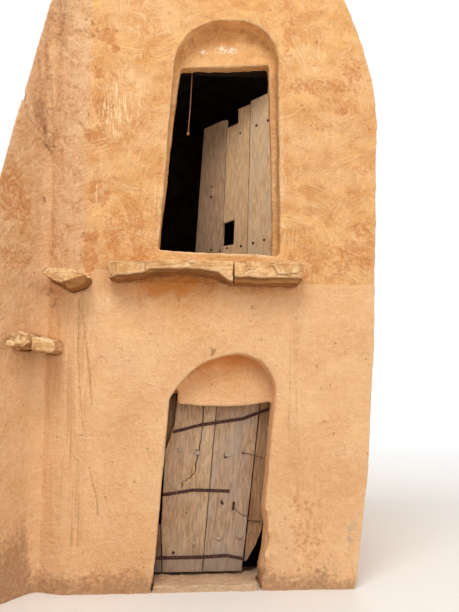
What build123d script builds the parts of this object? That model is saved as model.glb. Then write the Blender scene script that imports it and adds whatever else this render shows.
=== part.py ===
from build123d import *
import math
import os

# A fortified granary: two vaulted store rooms, one above the other, behind one tall rounded front.
# Millimetres, +Z up. The front faces -Y, and +X is to the right of someone who faces the front.
# The origin is the middle of the lower threshold, on the ground.

# Outer body
BAY_HALF = 1260            # half the width where the vault springs
BAY_DEPTH = 4000
OUTER_SPRING = 3600        # height where the haunches start to curve in
GABLE_RISE = 1750          # from there to the top of the front gable
VAULT_RISE = 1690          # and to the top of the vault behind it
HAUNCH_RADIUS = 2500
SHOULDER_HEIGHT = 4700     # filled corner at the left of the gable

# Lean and undercut of the free right-hand side
WAIST_HEIGHT = 2000
WAIST_INSET = 70
HIP_HEIGHT = 870
HIP_INSET = 150
FOOT_INSET = 285

# Rooms and walls
ROOM_HALF = 750
LOWER_SPRING = 1300
VAULT_CROWN = 290          # thickness of the upper vault at its crown
LOWER_FRONT = 500          # thickness of the front wall, lower storey
UPPER_FRONT = 450          # and upper storey
BACK_WALL = 400
GROUND_FLOOR = 50          # top of the beaten floor
UPPER_FLOOR = 2430         # top of the upper floor, and of the wall below it
SCREED = 100

# Doorways: a niche, a thin arched screen over the door, and a wider embrasure behind
NICHE_DEPTH = 150
SCREEN = 100
THRESHOLD_TOP = 55
LOWER_JAMB_TOP = 1400
LOWER_CROWN = (110, 348)           # arch points: x, and height over the jambs
LOWER_LEFT_SHOULDER = (-200, 240)
LOWER_RIGHT_SHOULDER = (342, 230)
LOWER_LEFT_JAMB = (-529, -417)     # x at the ground and at the jamb's top
LOWER_RIGHT_JAMB = (268, 395)
LOWER_JAMB_BREAKS = ((276, 150), (310, 260), (333, 430), (312, 570))   # broken edge of the right jamb
LOWER_SCREEN_FOOT = 1370
LOWER_SCREEN_SAG = 25
LOWER_SCREEN_LEFT = -345
UPPER_JAMB_TOP = 4130
UPPER_CROWN = (60, 345)
UPPER_LEFT_SHOULDER = (-252, 240)
UPPER_RIGHT_SHOULDER = (371, 227)
UPPER_LEFT_JAMB = (-515, -395)     # x at the upper floor and at the jamb's top
UPPER_RIGHT_JAMB = (440, 443)
UPPER_SCREEN_FOOT = (4120, 4176)   # left and right
UPPER_SCREEN_LEFT = (-530, -350)   # x of its legs at the upper floor and at the jamb's top
UPPER_SCREEN_RIGHT = (405, 390)
UPPER_SILL = (126, 83)             # height of the sill's left and right end over the floor
LOWER_EMBRASURE = (-560, 450)
LOWER_EMBRASURE_TOP = 1470
UPPER_EMBRASURE = (-580, 560)
UPPER_EMBRASURE_TOP = 4200

# Wooden lintels
LINTEL_HEIGHT = 130
LINTEL_BEARING = 150
LINTEL_DEPTH = 170
LINTEL_BACK = 10           # set back behind the screen

# Corner wing at the left
WING_ANGLE = 60
VALLEY_X = 1380            # the hollow corner between front and wing
VALLEY_BACK = 130
COVE_START = 1090
WING_DEPTH = 1000          # front to back
WING_FOOT = 920
WING_KNEE = (760, 1500)
WING_HIP = (700, 2500)
WING_TIP = (98, 4613)

# Ledge of two slabs under the upper doorway: x, and how far the underside lies below the top
LEDGE_REACH = 200
LEDGE_TAIL = 150
LEDGE_BULGE = 20
LEDGE_CRACK = 60
CRACK_WIDTH = 10
LEDGE_LEFT_END = -876
LEDGE_RIGHT_END = 620
LEDGE_LEFT_UNDERSIDE = ((-876, 130), (-810, 147), (-600, 112), (-300, 76), (-80, 105), (60, 168))
LEDGE_RIGHT_UNDERSIDE = ((70, 160), (300, 168), (560, 172), (620, 110))
LEDGE_CORNER = 75          # how far the broken front corners are drawn in

# Climbing stones, each an outline in x and z
STEP_TAIL = 150
LOW_LEFT_REACH = 330
LOW_RIGHT_REACH = 280
STEP_HIGH = (
    (-1360, 2330), (-1330, 2372), (-1150, 2360), (-1015, 2320), (-1005, 2285),
    (-1050, 2235), (-1150, 2205), (-1250, 2260),
)
STEP_LOW_LEFT = (
    (-1555, 1790), (-1540, 1860), (-1480, 1895), (-1410, 1880), (-1392, 1800), (-1440, 1765), (-1520, 1760),
)
STEP_LOW_RIGHT = ((-1385, 1745), (-1385, 1845), (-1300, 1850), (-1225, 1830), (-1215, 1760), (-1240, 1735))

# Lower door
LEAF_GAP = 25              # from the screen's back to the boards' face
BOARD = 28
LEAF_FOOT = 70
LEAF_TOP = 1450
BATTEN_THICK = 40
BATTEN_HEIGHT = 90
POST_SIDE = 84
POST_X = -405
PIN_RADIUS = 20
PIN_CLEARANCE = 6
SOCKET_FLOOR = 10
PIN_SEAT = 0.3
TOP_PIN = 45               # height of the top pin over the post
TOP_SOCKET = 60
BOARD_GAP = 3
STILE_SETBACK = 6
LEAF_LEFT = ((-455, LEAF_FOOT), (-470, 430), (-445, 990), (-375, 1200), (-352, LEAF_TOP))
JOINT_LEFT = (-175, -140)          # x of each leaning joint at the boards' foot and top
JOINT_RIGHT = (-144, -25)
LEAF_RIGHT = (165, 325)
WEDGE_FOOT = (-518, -458)          # left and right
WEDGE_TOP = (-494, -473)
WEDGE_HEIGHT = 430
STILE_TOP = 425
STILE_BREAK = ((180, 136), (205, 150), (270, 258), (320, 372), (352, 490), (378, 620))
LOW_BATTEN = (255, 250)            # height of its foot, and x of its right end
HIGH_BATTEN = (925, 390)

# Iron straps across the lower door, each a bent line in x and z
STRAP_WIDTH = 30
STRAP_THICK = 5
STRAP_TOP = ((-386, 1138), (-154, 1195), (174, 1240), (268, 1277), (384, 1316))
STRAP_MIDDLE = ((-460, 655), (-222, 689), (68, 678))
STRAP_BOTTOM = ((-512, 180), (-149, 181), (46, 190), (182, 160))

# Upper door leaf, which stands half open
UPPER_LEAF_ANGLE = 45
UPPER_HINGE_X = 455
UPPER_HINGE_BACK = 50      # behind the screen
UPPER_LEAF_LIFT = 20
UPPER_POST = 55
UPPER_JOINT_RIGHT = (322, 268)     # distance from the hinge side at the foot and at the top
UPPER_JOINT_LEFT = (613, 549)
UPPER_LEAF_END = (965, 832)
UPPER_RIGHT_TOP = (4028, 4012)     # heights of the boards' broken tops, from the hinge side on
UPPER_MIDDLE_TOP = (3983, 3978, 3845, 3835)
UPPER_MIDDLE_STEP = 411
UPPER_LEFT_TOP = (3916, 3923, 3905)
UPPER_LEFT_PEAK = 604
KEYHOLE = ((457, 2964), (620, 2946), (620, 2745), (468, 2742))
UPPER_LOW_BATTEN = (2660, 900)     # height of its foot, and its length
UPPER_HIGH_BATTEN = (3700, 820)

# Cord that hangs from the upper lintel
CORD_DIAMETER = 8
CORD_X = -254
CORD_Y = 70                # behind the screen
KNOT_RADIUS = 11
KNOT_LENGTH = 26

FRONT = -LOWER_FRONT / 2
SCREEN_BACK = FRONT + NICHE_DEPTH + SCREEN
LOWER_INNER = FRONT + LOWER_FRONT
UPPER_INNER = FRONT + UPPER_FRONT
REAR = FRONT + BAY_DEPTH
BACK_INNER = REAR - BACK_WALL
LEFT = -BAY_HALF
UPPER_SPRING = OUTER_SPRING + VAULT_RISE - VAULT_CROWN - ROOM_HALF
FAR = 2 * BAY_HALF         # safely past the body


def elevation(y):
    """Plane at depth y whose x runs along X and whose y runs up."""
    return Plane(origin=(0, y, 0), x_dir=(1, 0, 0), z_dir=(0, -1, 0))


def window(x0, x1, z0, z1, mode=Mode.INTERSECT):
    """Rectangle between two corners, by default what is kept of the sketch."""
    with Locations(((x0 + x1) / 2, (z0 + z1) / 2)):
        Rectangle(x1 - x0, z1 - z0, mode=mode)


def block(x0, x1, y0, y1, z0, z1, mode=Mode.ADD):
    """Box between two corners."""
    with Locations(((x0 + x1) / 2, (y0 + y1) / 2, (z0 + z1) / 2)):
        Box(x1 - x0, y1 - y0, z1 - z0, mode=mode)


def haunch_joint(rise):
    """Point where the right haunch meets the crown of a three-centred arch."""
    offset = HAUNCH_RADIUS - BAY_HALF
    crown_radius = (HAUNCH_RADIUS**2 - rise**2 - offset**2) / (2 * (HAUNCH_RADIUS - rise))
    reach = HAUNCH_RADIUS / (HAUNCH_RADIUS - crown_radius)
    return (reach * offset - offset, OUTER_SPRING + reach * (rise - crown_radius))


def body_outline(rise, shoulder):
    """Cross-section of the body: upright on the left, leaning on the right, a vault on top."""
    joint_x, joint_z = haunch_joint(rise)
    top = (0, OUTER_SPRING + rise)
    with BuildSketch() as outline:
        with BuildLine():
            Polyline(
                (LEFT, 0),
                (BAY_HALF - FOOT_INSET, 0),
                (BAY_HALF - HIP_INSET, HIP_HEIGHT),
                (BAY_HALF - WAIST_INSET, WAIST_HEIGHT),
                (BAY_HALF, OUTER_SPRING),
            )
            TangentArc((BAY_HALF, OUTER_SPRING), (joint_x, joint_z), tangent=(0, 1))
            ThreePointArc((joint_x, joint_z), top, (-joint_x, joint_z))
            if shoulder:
                Polyline((-joint_x, joint_z), (LEFT, SHOULDER_HEIGHT), (LEFT, 0))
            else:
                TangentArc((LEFT, OUTER_SPRING), (-joint_x, joint_z), tangent=(0, 1))
                Line((LEFT, OUTER_SPRING), (LEFT, 0))
        make_face()
    return outline.sketch


def niche_outline(left, right, foot, jamb_top, arch_points, breaks=()):
    """Doorway with leaning jambs under an uneven arch, and the broken points of its right jamb."""
    left_shoulder, crown, right_shoulder = [(x, jamb_top + rise) for x, rise in arch_points]
    with BuildSketch() as outline:
        with BuildLine():
            Polyline((left[1], jamb_top), (left[0], foot), (right[0], foot), *breaks, (right[1], jamb_top))
            ThreePointArc((left[1], jamb_top), left_shoulder, crown)
            ThreePointArc(crown, right_shoulder, (right[1], jamb_top))
        make_face()
    return outline.sketch


cove_run = VALLEY_X - COVE_START
cove_radius = (cove_run**2 + VALLEY_BACK**2) / (2 * VALLEY_BACK)
cove_centre = (-COVE_START, FRONT + cove_radius)
cove_at_wall = math.degrees(math.asin((BAY_HALF - COVE_START) / cove_radius))
cove_at_valley = math.degrees(math.asin(cove_run / cove_radius))


def front_plan(depth):
    """Plan of the front wall, which rounds back into the hollow corner at the left."""
    cove_depth = cove_radius - math.sqrt(cove_radius**2 - (BAY_HALF - COVE_START) ** 2)
    with BuildSketch() as plan:
        with BuildLine():
            CenterArc(cove_centre, cove_radius, 270 - cove_at_wall, cove_at_wall)
            Polyline(
                (-COVE_START, FRONT),
                (FAR, FRONT),
                (FAR, FRONT + depth),
                (LEFT, FRONT + depth),
                (LEFT, FRONT + cove_depth),
            )
        make_face()
    return plan.sketch


FACADE = body_outline(GABLE_RISE, shoulder=True)
BODY = body_outline(VAULT_RISE, shoulder=False)
LOWER_NICHE = niche_outline(
    LOWER_LEFT_JAMB, LOWER_RIGHT_JAMB, 0, LOWER_JAMB_TOP,
    (LOWER_LEFT_SHOULDER, LOWER_CROWN, LOWER_RIGHT_SHOULDER), LOWER_JAMB_BREAKS,
)
UPPER_NICHE = niche_outline(
    UPPER_LEFT_JAMB, UPPER_RIGHT_JAMB, UPPER_FLOOR, UPPER_JAMB_TOP,
    (UPPER_LEFT_SHOULDER, UPPER_CROWN, UPPER_RIGHT_SHOULDER),
)
LOWER_PLAN = front_plan(LOWER_FRONT)
UPPER_PLAN = front_plan(UPPER_FRONT)

# Stones that stick out of the front, each cut into the wall behind it


def underside(points):
    """Points of a slab's underside, from depths below its top."""
    return [(x, UPPER_FLOOR - depth) for x, depth in points]


ledge_front = FRONT - LEDGE_REACH
ledge_back = FRONT + LEDGE_TAIL

with BuildPart() as ledge_slab_left:
    with BuildSketch(elevation(ledge_front - LEDGE_BULGE)):
        with BuildLine():
            Polyline(
                (LEDGE_LEFT_END, UPPER_FLOOR), *underside(LEDGE_LEFT_UNDERSIDE),
                (LEDGE_CRACK, UPPER_FLOOR), close=True,
            )
        make_face()
    extrude(amount=-(LEDGE_BULGE + LEDGE_REACH + LEDGE_TAIL))
    with BuildSketch(Plane.XY.offset(UPPER_FLOOR)):
        with BuildLine():
            Polyline(
                (LEDGE_LEFT_END, ledge_back), (LEDGE_LEFT_END, ledge_front + LEDGE_CORNER),
                (LEDGE_LEFT_END + LEDGE_CORNER, ledge_front), (LEDGE_LEFT_END / 3, ledge_front - LEDGE_BULGE),
                (LEDGE_CRACK, ledge_front), (LEDGE_CRACK, ledge_back), close=True,
            )
        make_face()
    extrude(amount=-UPPER_FLOOR / 2, mode=Mode.INTERSECT)

with BuildPart() as ledge_slab_right:
    crack_side = LEDGE_CRACK + CRACK_WIDTH
    with BuildSketch(elevation(ledge_front)):
        with BuildLine():
            Polyline(
                (crack_side, UPPER_FLOOR), *underside(LEDGE_RIGHT_UNDERSIDE),
                (LEDGE_RIGHT_END, UPPER_FLOOR), close=True,
            )
        make_face()
    extrude(amount=-(LEDGE_REACH + LEDGE_TAIL))
    with BuildSketch(Plane.XY.offset(UPPER_FLOOR)):
        with BuildLine():
            Polyline(
                (crack_side, ledge_back), (crack_side, ledge_front),
                (LEDGE_RIGHT_END - LEDGE_CORNER, ledge_front), (LEDGE_RIGHT_END, ledge_front + LEDGE_CORNER),
                (LEDGE_RIGHT_END, ledge_back), close=True,
            )
        make_face()
    extrude(amount=-UPPER_FLOOR / 2, mode=Mode.INTERSECT)


def climbing_stone(outline, reach):
    """Stone of that outline, from so far in front of the wall to its tail inside it."""
    with BuildPart() as stone:
        with BuildSketch(elevation(FRONT - reach)):
            with BuildLine():
                Polyline(*outline, close=True)
            make_face()
        extrude(amount=-(reach + VALLEY_BACK + STEP_TAIL))
    return stone


step_stone_high = climbing_stone(STEP_HIGH, LEDGE_REACH)
step_stone_low_left = climbing_stone(STEP_LOW_LEFT, LOW_LEFT_REACH)
step_stone_low_right = climbing_stone(STEP_LOW_RIGHT, LOW_RIGHT_REACH)

# Wooden lintels behind the arched screens

with BuildPart() as lower_lintel:
    block(
        LOWER_EMBRASURE[0] - LINTEL_BEARING, LOWER_EMBRASURE[1] + LINTEL_BEARING,
        SCREEN_BACK + LINTEL_BACK, SCREEN_BACK + LINTEL_BACK + LINTEL_DEPTH,
        LOWER_EMBRASURE_TOP, LOWER_EMBRASURE_TOP + LINTEL_HEIGHT,
    )
    with Locations((POST_X, SCREEN_BACK + LEAF_GAP + BOARD + POST_SIDE / 2, LOWER_EMBRASURE_TOP)):
        Cylinder(
            PIN_RADIUS + PIN_CLEARANCE, TOP_SOCKET,
            align=(Align.CENTER, Align.CENTER, Align.MIN), mode=Mode.SUBTRACT,
        )

with BuildPart() as upper_lintel:
    block(
        UPPER_EMBRASURE[0] - LINTEL_BEARING, UPPER_EMBRASURE[1] + LINTEL_BEARING,
        SCREEN_BACK + LINTEL_BACK, SCREEN_BACK + LINTEL_BACK + LINTEL_DEPTH,
        UPPER_EMBRASURE_TOP, UPPER_EMBRASURE_TOP + LINTEL_HEIGHT,
    )

# Lower storey

with BuildPart() as threshold:
    with BuildSketch(elevation(FRONT)):
        add(LOWER_NICHE)
        window(-FAR, FAR, 0, THRESHOLD_TOP)
    extrude(amount=-(SCREEN_BACK - FRONT))
    block(*LOWER_EMBRASURE, SCREEN_BACK, LOWER_INNER, 0, THRESHOLD_TOP)
    with Locations((POST_X, SCREEN_BACK + LEAF_GAP + BOARD + POST_SIDE / 2, SOCKET_FLOOR)):
        Cylinder(
            PIN_RADIUS + PIN_CLEARANCE, THRESHOLD_TOP,
            align=(Align.CENTER, Align.CENTER, Align.MIN), mode=Mode.SUBTRACT,
        )

with BuildPart() as lower_floor:
    block(-ROOM_HALF, ROOM_HALF, LOWER_INNER, BACK_INNER, 0, GROUND_FLOOR)

with BuildPart() as lower_left_wall:
    block(LEFT, -ROOM_HALF, LOWER_INNER, BACK_INNER, 0, LOWER_SPRING)

with BuildPart() as lower_right_wall:
    with BuildSketch(elevation(LOWER_INNER)):
        add(BODY)
        window(ROOM_HALF, FAR, 0, LOWER_SPRING)
    extrude(amount=-(BACK_INNER - LOWER_INNER))

with BuildPart() as lower_back_wall:
    with BuildSketch(elevation(BACK_INNER)):
        add(BODY)
        window(-FAR, FAR, 0, UPPER_FLOOR)
    extrude(amount=-BACK_WALL)

with BuildPart() as lower_vault:
    with BuildSketch(elevation(LOWER_INNER)):
        add(BODY)
        window(-FAR, FAR, LOWER_SPRING, UPPER_FLOOR - SCREED)
        with Locations((0, LOWER_SPRING)):
            Circle(ROOM_HALF, mode=Mode.SUBTRACT)
    extrude(amount=-(BACK_INNER - LOWER_INNER))

with BuildPart() as lower_front_left:
    with BuildSketch(elevation(FRONT)):
        add(FACADE)
        window(LEFT, 0, 0, LOWER_JAMB_TOP)
        add(LOWER_NICHE, mode=Mode.SUBTRACT)
    extrude(amount=-(SCREEN_BACK - FRONT))
    block(LEFT, LOWER_EMBRASURE[0], SCREEN_BACK, LOWER_INNER, 0, LOWER_JAMB_TOP)
    with BuildSketch(Plane.XY):
        add(LOWER_PLAN)
    extrude(amount=LOWER_JAMB_TOP, mode=Mode.INTERSECT)

with BuildPart() as lower_front_right:
    with BuildSketch(elevation(FRONT)):
        add(FACADE)
        window(0, FAR, 0, LOWER_JAMB_TOP)
        add(LOWER_NICHE, mode=Mode.SUBTRACT)
    extrude(amount=-(SCREEN_BACK - FRONT))
    with BuildSketch(elevation(SCREEN_BACK)):
        add(FACADE)
        window(LOWER_EMBRASURE[1], FAR, 0, LOWER_JAMB_TOP)
    extrude(amount=-(LOWER_INNER - SCREEN_BACK))

with BuildPart() as lower_front_arch:
    with BuildSketch(elevation(FRONT)):
        add(FACADE)
        window(-FAR, FAR, LOWER_JAMB_TOP, UPPER_FLOOR)
        add(LOWER_NICHE, mode=Mode.SUBTRACT)
    extrude(amount=-(SCREEN_BACK - FRONT))
    with BuildSketch(elevation(SCREEN_BACK)):
        add(FACADE)
        window(-FAR, FAR, LOWER_JAMB_TOP, UPPER_FLOOR)
        window(*LOWER_EMBRASURE, LOWER_JAMB_TOP, LOWER_EMBRASURE_TOP, mode=Mode.SUBTRACT)
    extrude(amount=-(LOWER_INNER - SCREEN_BACK))
    with BuildSketch(Plane.XY):
        add(LOWER_PLAN)
    extrude(amount=UPPER_FLOOR, mode=Mode.INTERSECT)
    add(lower_lintel.part, mode=Mode.SUBTRACT)
    block(
        POST_X - 2 * PIN_RADIUS, POST_X + 2 * PIN_RADIUS,
        SCREEN_BACK + LINTEL_BACK, SCREEN_BACK + LINTEL_BACK + LINTEL_DEPTH,
        LOWER_EMBRASURE_TOP, LOWER_EMBRASURE_TOP + LINTEL_HEIGHT, mode=Mode.SUBTRACT,
    )
    for stone in (ledge_slab_left, ledge_slab_right, step_stone_high, step_stone_low_right):
        add(stone.part, mode=Mode.SUBTRACT)

with BuildPart() as lower_tympanum:
    with BuildSketch(elevation(FRONT + NICHE_DEPTH)):
        with BuildLine():
            ThreePointArc(
                (LOWER_SCREEN_LEFT, LOWER_SCREEN_FOOT),
                (0, LOWER_SCREEN_FOOT - LOWER_SCREEN_SAG),
                (LOWER_RIGHT_JAMB[1], LOWER_SCREEN_FOOT + LOWER_SCREEN_SAG / 2),
            )
            Polyline(
                (LOWER_RIGHT_JAMB[1], LOWER_SCREEN_FOOT + LOWER_SCREEN_SAG / 2),
                (LOWER_RIGHT_JAMB[1], LOWER_JAMB_TOP + 2 * LOWER_CROWN[1]),
                (LOWER_SCREEN_LEFT, LOWER_JAMB_TOP + 2 * LOWER_CROWN[1]),
                (LOWER_SCREEN_LEFT, LOWER_SCREEN_FOOT),
            )
        make_face()
        add(LOWER_NICHE, mode=Mode.INTERSECT)
    extrude(amount=-SCREEN)

# Upper storey

with BuildPart() as upper_floor:
    with BuildSketch(elevation(LOWER_INNER)):
        add(BODY)
        window(-FAR, FAR, UPPER_FLOOR - SCREED, UPPER_FLOOR)
    extrude(amount=-(BACK_INNER - LOWER_INNER))

with BuildPart() as upper_left_wall:
    block(LEFT, -ROOM_HALF, UPPER_INNER, BACK_INNER, UPPER_FLOOR, OUTER_SPRING)

with BuildPart() as upper_right_wall:
    with BuildSketch(elevation(UPPER_INNER)):
        add(BODY)
        window(ROOM_HALF, FAR, UPPER_FLOOR, OUTER_SPRING)
    extrude(amount=-(BACK_INNER - UPPER_INNER))

with BuildPart() as upper_back_wall:
    with BuildSketch(elevation(BACK_INNER)):
        add(BODY)
        window(-FAR, FAR, UPPER_FLOOR, OUTER_SPRING + FAR)
    extrude(amount=-BACK_WALL)

with BuildPart() as upper_vault:
    with BuildSketch(elevation(UPPER_INNER)):
        add(BODY)
        window(-FAR, FAR, OUTER_SPRING, OUTER_SPRING + FAR)
        window(-ROOM_HALF, ROOM_HALF, 0, UPPER_SPRING, mode=Mode.SUBTRACT)
        with Locations((0, UPPER_SPRING)):
            Circle(ROOM_HALF, mode=Mode.SUBTRACT)
    extrude(amount=-(BACK_INNER - UPPER_INNER))

with BuildPart() as upper_front_left:
    with BuildSketch(elevation(FRONT)):
        add(FACADE)
        window(LEFT, 0, UPPER_FLOOR, UPPER_JAMB_TOP)
        add(UPPER_NICHE, mode=Mode.SUBTRACT)
    extrude(amount=-(SCREEN_BACK - FRONT))
    block(LEFT, UPPER_EMBRASURE[0], SCREEN_BACK, UPPER_INNER, UPPER_FLOOR, UPPER_JAMB_TOP)
    with BuildSketch(Plane.XY.offset(UPPER_FLOOR)):
        add(UPPER_PLAN)
    extrude(amount=UPPER_JAMB_TOP - UPPER_FLOOR, mode=Mode.INTERSECT)

with BuildPart() as upper_front_right:
    with BuildSketch(elevation(FRONT)):
        add(FACADE)
        window(0, FAR, UPPER_FLOOR, UPPER_JAMB_TOP)
        add(UPPER_NICHE, mode=Mode.SUBTRACT)
    extrude(amount=-(SCREEN_BACK - FRONT))
    with BuildSketch(elevation(SCREEN_BACK)):
        add(FACADE)
        window(UPPER_EMBRASURE[1], FAR, UPPER_FLOOR, UPPER_JAMB_TOP)
    extrude(amount=-(UPPER_INNER - SCREEN_BACK))

with BuildPart() as upper_front_gable:
    with BuildSketch(elevation(FRONT)):
        add(FACADE)
        window(-FAR, FAR, UPPER_JAMB_TOP, OUTER_SPRING + FAR)
        add(UPPER_NICHE, mode=Mode.SUBTRACT)
    extrude(amount=-(SCREEN_BACK - FRONT))
    with BuildSketch(elevation(SCREEN_BACK)):
        add(FACADE)
        window(-FAR, FAR, UPPER_JAMB_TOP, OUTER_SPRING + FAR)
        window(*UPPER_EMBRASURE, UPPER_JAMB_TOP, UPPER_EMBRASURE_TOP, mode=Mode.SUBTRACT)
    extrude(amount=-(UPPER_INNER - SCREEN_BACK))
    with BuildSketch(Plane.XY):
        add(UPPER_PLAN)
    extrude(amount=OUTER_SPRING + FAR, mode=Mode.INTERSECT)
    add(upper_lintel.part, mode=Mode.SUBTRACT)

with BuildPart() as upper_sill:
    with BuildSketch(elevation(FRONT)):
        with BuildLine():
            Polyline(
                (-FAR, UPPER_FLOOR), (FAR, UPPER_FLOOR),
                (UPPER_RIGHT_JAMB[0], UPPER_FLOOR + UPPER_SILL[1]),
                (UPPER_LEFT_JAMB[0], UPPER_FLOOR + UPPER_SILL[0]), close=True,
            )
        make_face()
        add(UPPER_NICHE, mode=Mode.INTERSECT)
    extrude(amount=-(SCREEN_BACK - FRONT))

with BuildPart() as upper_tympanum:
    with BuildSketch(elevation(FRONT + NICHE_DEPTH)):
        add(UPPER_NICHE)
        with BuildLine():
            Polyline(
                (UPPER_SCREEN_LEFT[0], UPPER_FLOOR), (UPPER_SCREEN_RIGHT[0], UPPER_FLOOR),
                (UPPER_SCREEN_RIGHT[1], UPPER_SCREEN_FOOT[1]), (UPPER_SCREEN_LEFT[1], UPPER_SCREEN_FOOT[0]),
                close=True,
            )
        make_face(mode=Mode.SUBTRACT)
    extrude(amount=-SCREEN)
    add(upper_sill.part, mode=Mode.SUBTRACT)

# Corner wing: the plain stump of the wall that turns the corner at the left

wing_cos = math.cos(math.radians(WING_ANGLE))
wing_sin = math.sin(math.radians(WING_ANGLE))
valley = (-VALLEY_X, FRONT + VALLEY_BACK)
wing_face = Plane(origin=(*valley, 0), x_dir=(-wing_cos, -wing_sin, 0), z_dir=(-wing_sin, wing_cos, 0))

with BuildPart() as corner_wing:
    with BuildSketch(wing_face):
        with BuildLine():
            Polyline((0, 0), (WING_FOOT, 0), WING_KNEE, WING_HIP, WING_TIP, (0, SHOULDER_HEIGHT), close=True)
        make_face()
    extrude(amount=WING_DEPTH, dir=(0, 1, 0))
    with BuildSketch(Plane.XY):
        with BuildLine():
            nook = CenterArc(cove_centre, cove_radius, 270 - cove_at_valley, cove_at_valley - cove_at_wall)
            Polyline(
                nook @ 0, (valley[0], valley[1] + WING_DEPTH), (LEFT, valley[1] + WING_DEPTH), nook @ 1,
            )
        make_face()
    extrude(amount=SHOULDER_HEIGHT)
    for stone in (step_stone_high, step_stone_low_left, step_stone_low_right):
        add(stone.part, mode=Mode.SUBTRACT)

# Lower door. Its boards lean, and it turns on an upright post in sockets of the threshold and lintel.

leaf_face = SCREEN_BACK + LEAF_GAP
leaf_back = leaf_face + BOARD
post_y = leaf_back + POST_SIDE / 2


def joint_line(joint):
    """Ends of a leaning joint, given by its x at the boards' foot and top."""
    return [(joint[0], LEAF_FOOT), (joint[1], LEAF_TOP)]


def board(left_edge, right):
    """Upright board from its left edge, a line from foot to top, to the leaning joint at its right."""
    with BuildPart() as piece:
        with BuildSketch(elevation(leaf_face)):
            with BuildLine():
                Polyline(
                    *left_edge, (right[1] - BOARD_GAP, LEAF_TOP), (right[0] - BOARD_GAP, LEAF_FOOT), close=True,
                )
            make_face()
        extrude(amount=-BOARD)
    return piece


def strap(points):
    """Thin iron strap that follows a line across the boards' face."""
    with BuildPart() as piece:
        with BuildSketch(elevation(leaf_face - STRAP_THICK)):
            with BuildLine():
                Polyline(
                    *[(x, z + STRAP_WIDTH / 2) for x, z in points],
                    *[(x, z - STRAP_WIDTH / 2) for x, z in reversed(points)], close=True,
                )
            make_face()
        extrude(amount=-STRAP_THICK)
    return piece


door_plank_left = board(LEAF_LEFT, JOINT_LEFT)
door_plank_middle = board(joint_line(JOINT_LEFT), JOINT_RIGHT)
door_plank_right = board(joint_line(JOINT_RIGHT), LEAF_RIGHT)

with BuildPart() as door_wedge:
    with BuildSketch(elevation(leaf_face)):
        with BuildLine():
            Polyline(
                (WEDGE_FOOT[0], LEAF_FOOT), (WEDGE_FOOT[1], LEAF_FOOT),
                (WEDGE_TOP[1], WEDGE_HEIGHT), (WEDGE_TOP[0], WEDGE_HEIGHT), close=True,
            )
        make_face()
    extrude(amount=-BOARD)

with BuildPart() as door_lock_stile:
    with BuildSketch(elevation(leaf_face + STILE_SETBACK)):
        with BuildLine():
            Polyline(*STILE_BREAK, (STILE_TOP, LEAF_TOP), (LEAF_RIGHT[1] + BOARD_GAP, LEAF_TOP), close=True)
        make_face()
    extrude(amount=-(BOARD - STILE_SETBACK))

with BuildPart() as door_pivot_post:
    block(
        POST_X - POST_SIDE / 2, POST_X + POST_SIDE / 2, leaf_back, leaf_back + POST_SIDE,
        LEAF_FOOT, LEAF_TOP,
    )
    with Locations((POST_X, post_y, SOCKET_FLOOR + PIN_SEAT)):
        Cylinder(
            PIN_RADIUS, LEAF_FOOT - SOCKET_FLOOR - PIN_SEAT,
            align=(Align.CENTER, Align.CENTER, Align.MIN),
        )
    with Locations((POST_X, post_y, LEAF_TOP)):
        Cylinder(PIN_RADIUS, TOP_PIN, align=(Align.CENTER, Align.CENTER, Align.MIN))

with BuildPart() as door_battens:
    for foot, reach in (LOW_BATTEN, HIGH_BATTEN):
        block(POST_X + POST_SIDE / 2, reach, leaf_back, leaf_back + BATTEN_THICK, foot, foot + BATTEN_HEIGHT)

door_strap_top = strap(STRAP_TOP)
door_strap_middle = strap(STRAP_MIDDLE)
door_strap_bottom = strap(STRAP_BOTTOM)

# Upper door leaf, hung at the right and left standing half open

leaf_cos = math.cos(math.radians(UPPER_LEAF_ANGLE))
leaf_sin = math.sin(math.radians(UPPER_LEAF_ANGLE))
upper_foot = UPPER_FLOOR + UPPER_LEAF_LIFT


def upper_leaf_plane(depth):
    """Plane of the open leaf: x runs from its hinge side, y up, and depth behind its face."""
    return Plane(
        origin=(
            UPPER_HINGE_X + depth * leaf_sin,
            SCREEN_BACK + UPPER_HINGE_BACK + depth * leaf_cos,
            0,
        ),
        x_dir=(-leaf_cos, leaf_sin, 0),
        z_dir=(leaf_sin, leaf_cos, 0),
    )


with BuildPart() as upper_door_plank_right:
    with BuildSketch(upper_leaf_plane(0)):
        with BuildLine():
            Polyline(
                (0, upper_foot), (UPPER_JOINT_RIGHT[0] - BOARD_GAP, upper_foot),
                (UPPER_JOINT_RIGHT[1] - BOARD_GAP, UPPER_RIGHT_TOP[1]), (0, UPPER_RIGHT_TOP[0]), close=True,
            )
        make_face()
    extrude(amount=BOARD)

with BuildPart() as upper_door_plank_middle:
    with BuildSketch(upper_leaf_plane(0)):
        with BuildLine():
            Polyline(
                (UPPER_JOINT_RIGHT[0], upper_foot), (UPPER_JOINT_LEFT[0] - BOARD_GAP, upper_foot),
                (UPPER_JOINT_LEFT[1] - BOARD_GAP, UPPER_MIDDLE_TOP[3]),
                (UPPER_MIDDLE_STEP, UPPER_MIDDLE_TOP[2]), (UPPER_MIDDLE_STEP, UPPER_MIDDLE_TOP[1]),
                (UPPER_JOINT_RIGHT[1], UPPER_MIDDLE_TOP[0]), close=True,
            )
        make_face()
        with BuildLine():
            Polyline(*KEYHOLE, close=True)
        make_face(mode=Mode.SUBTRACT)
    extrude(amount=BOARD)

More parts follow.
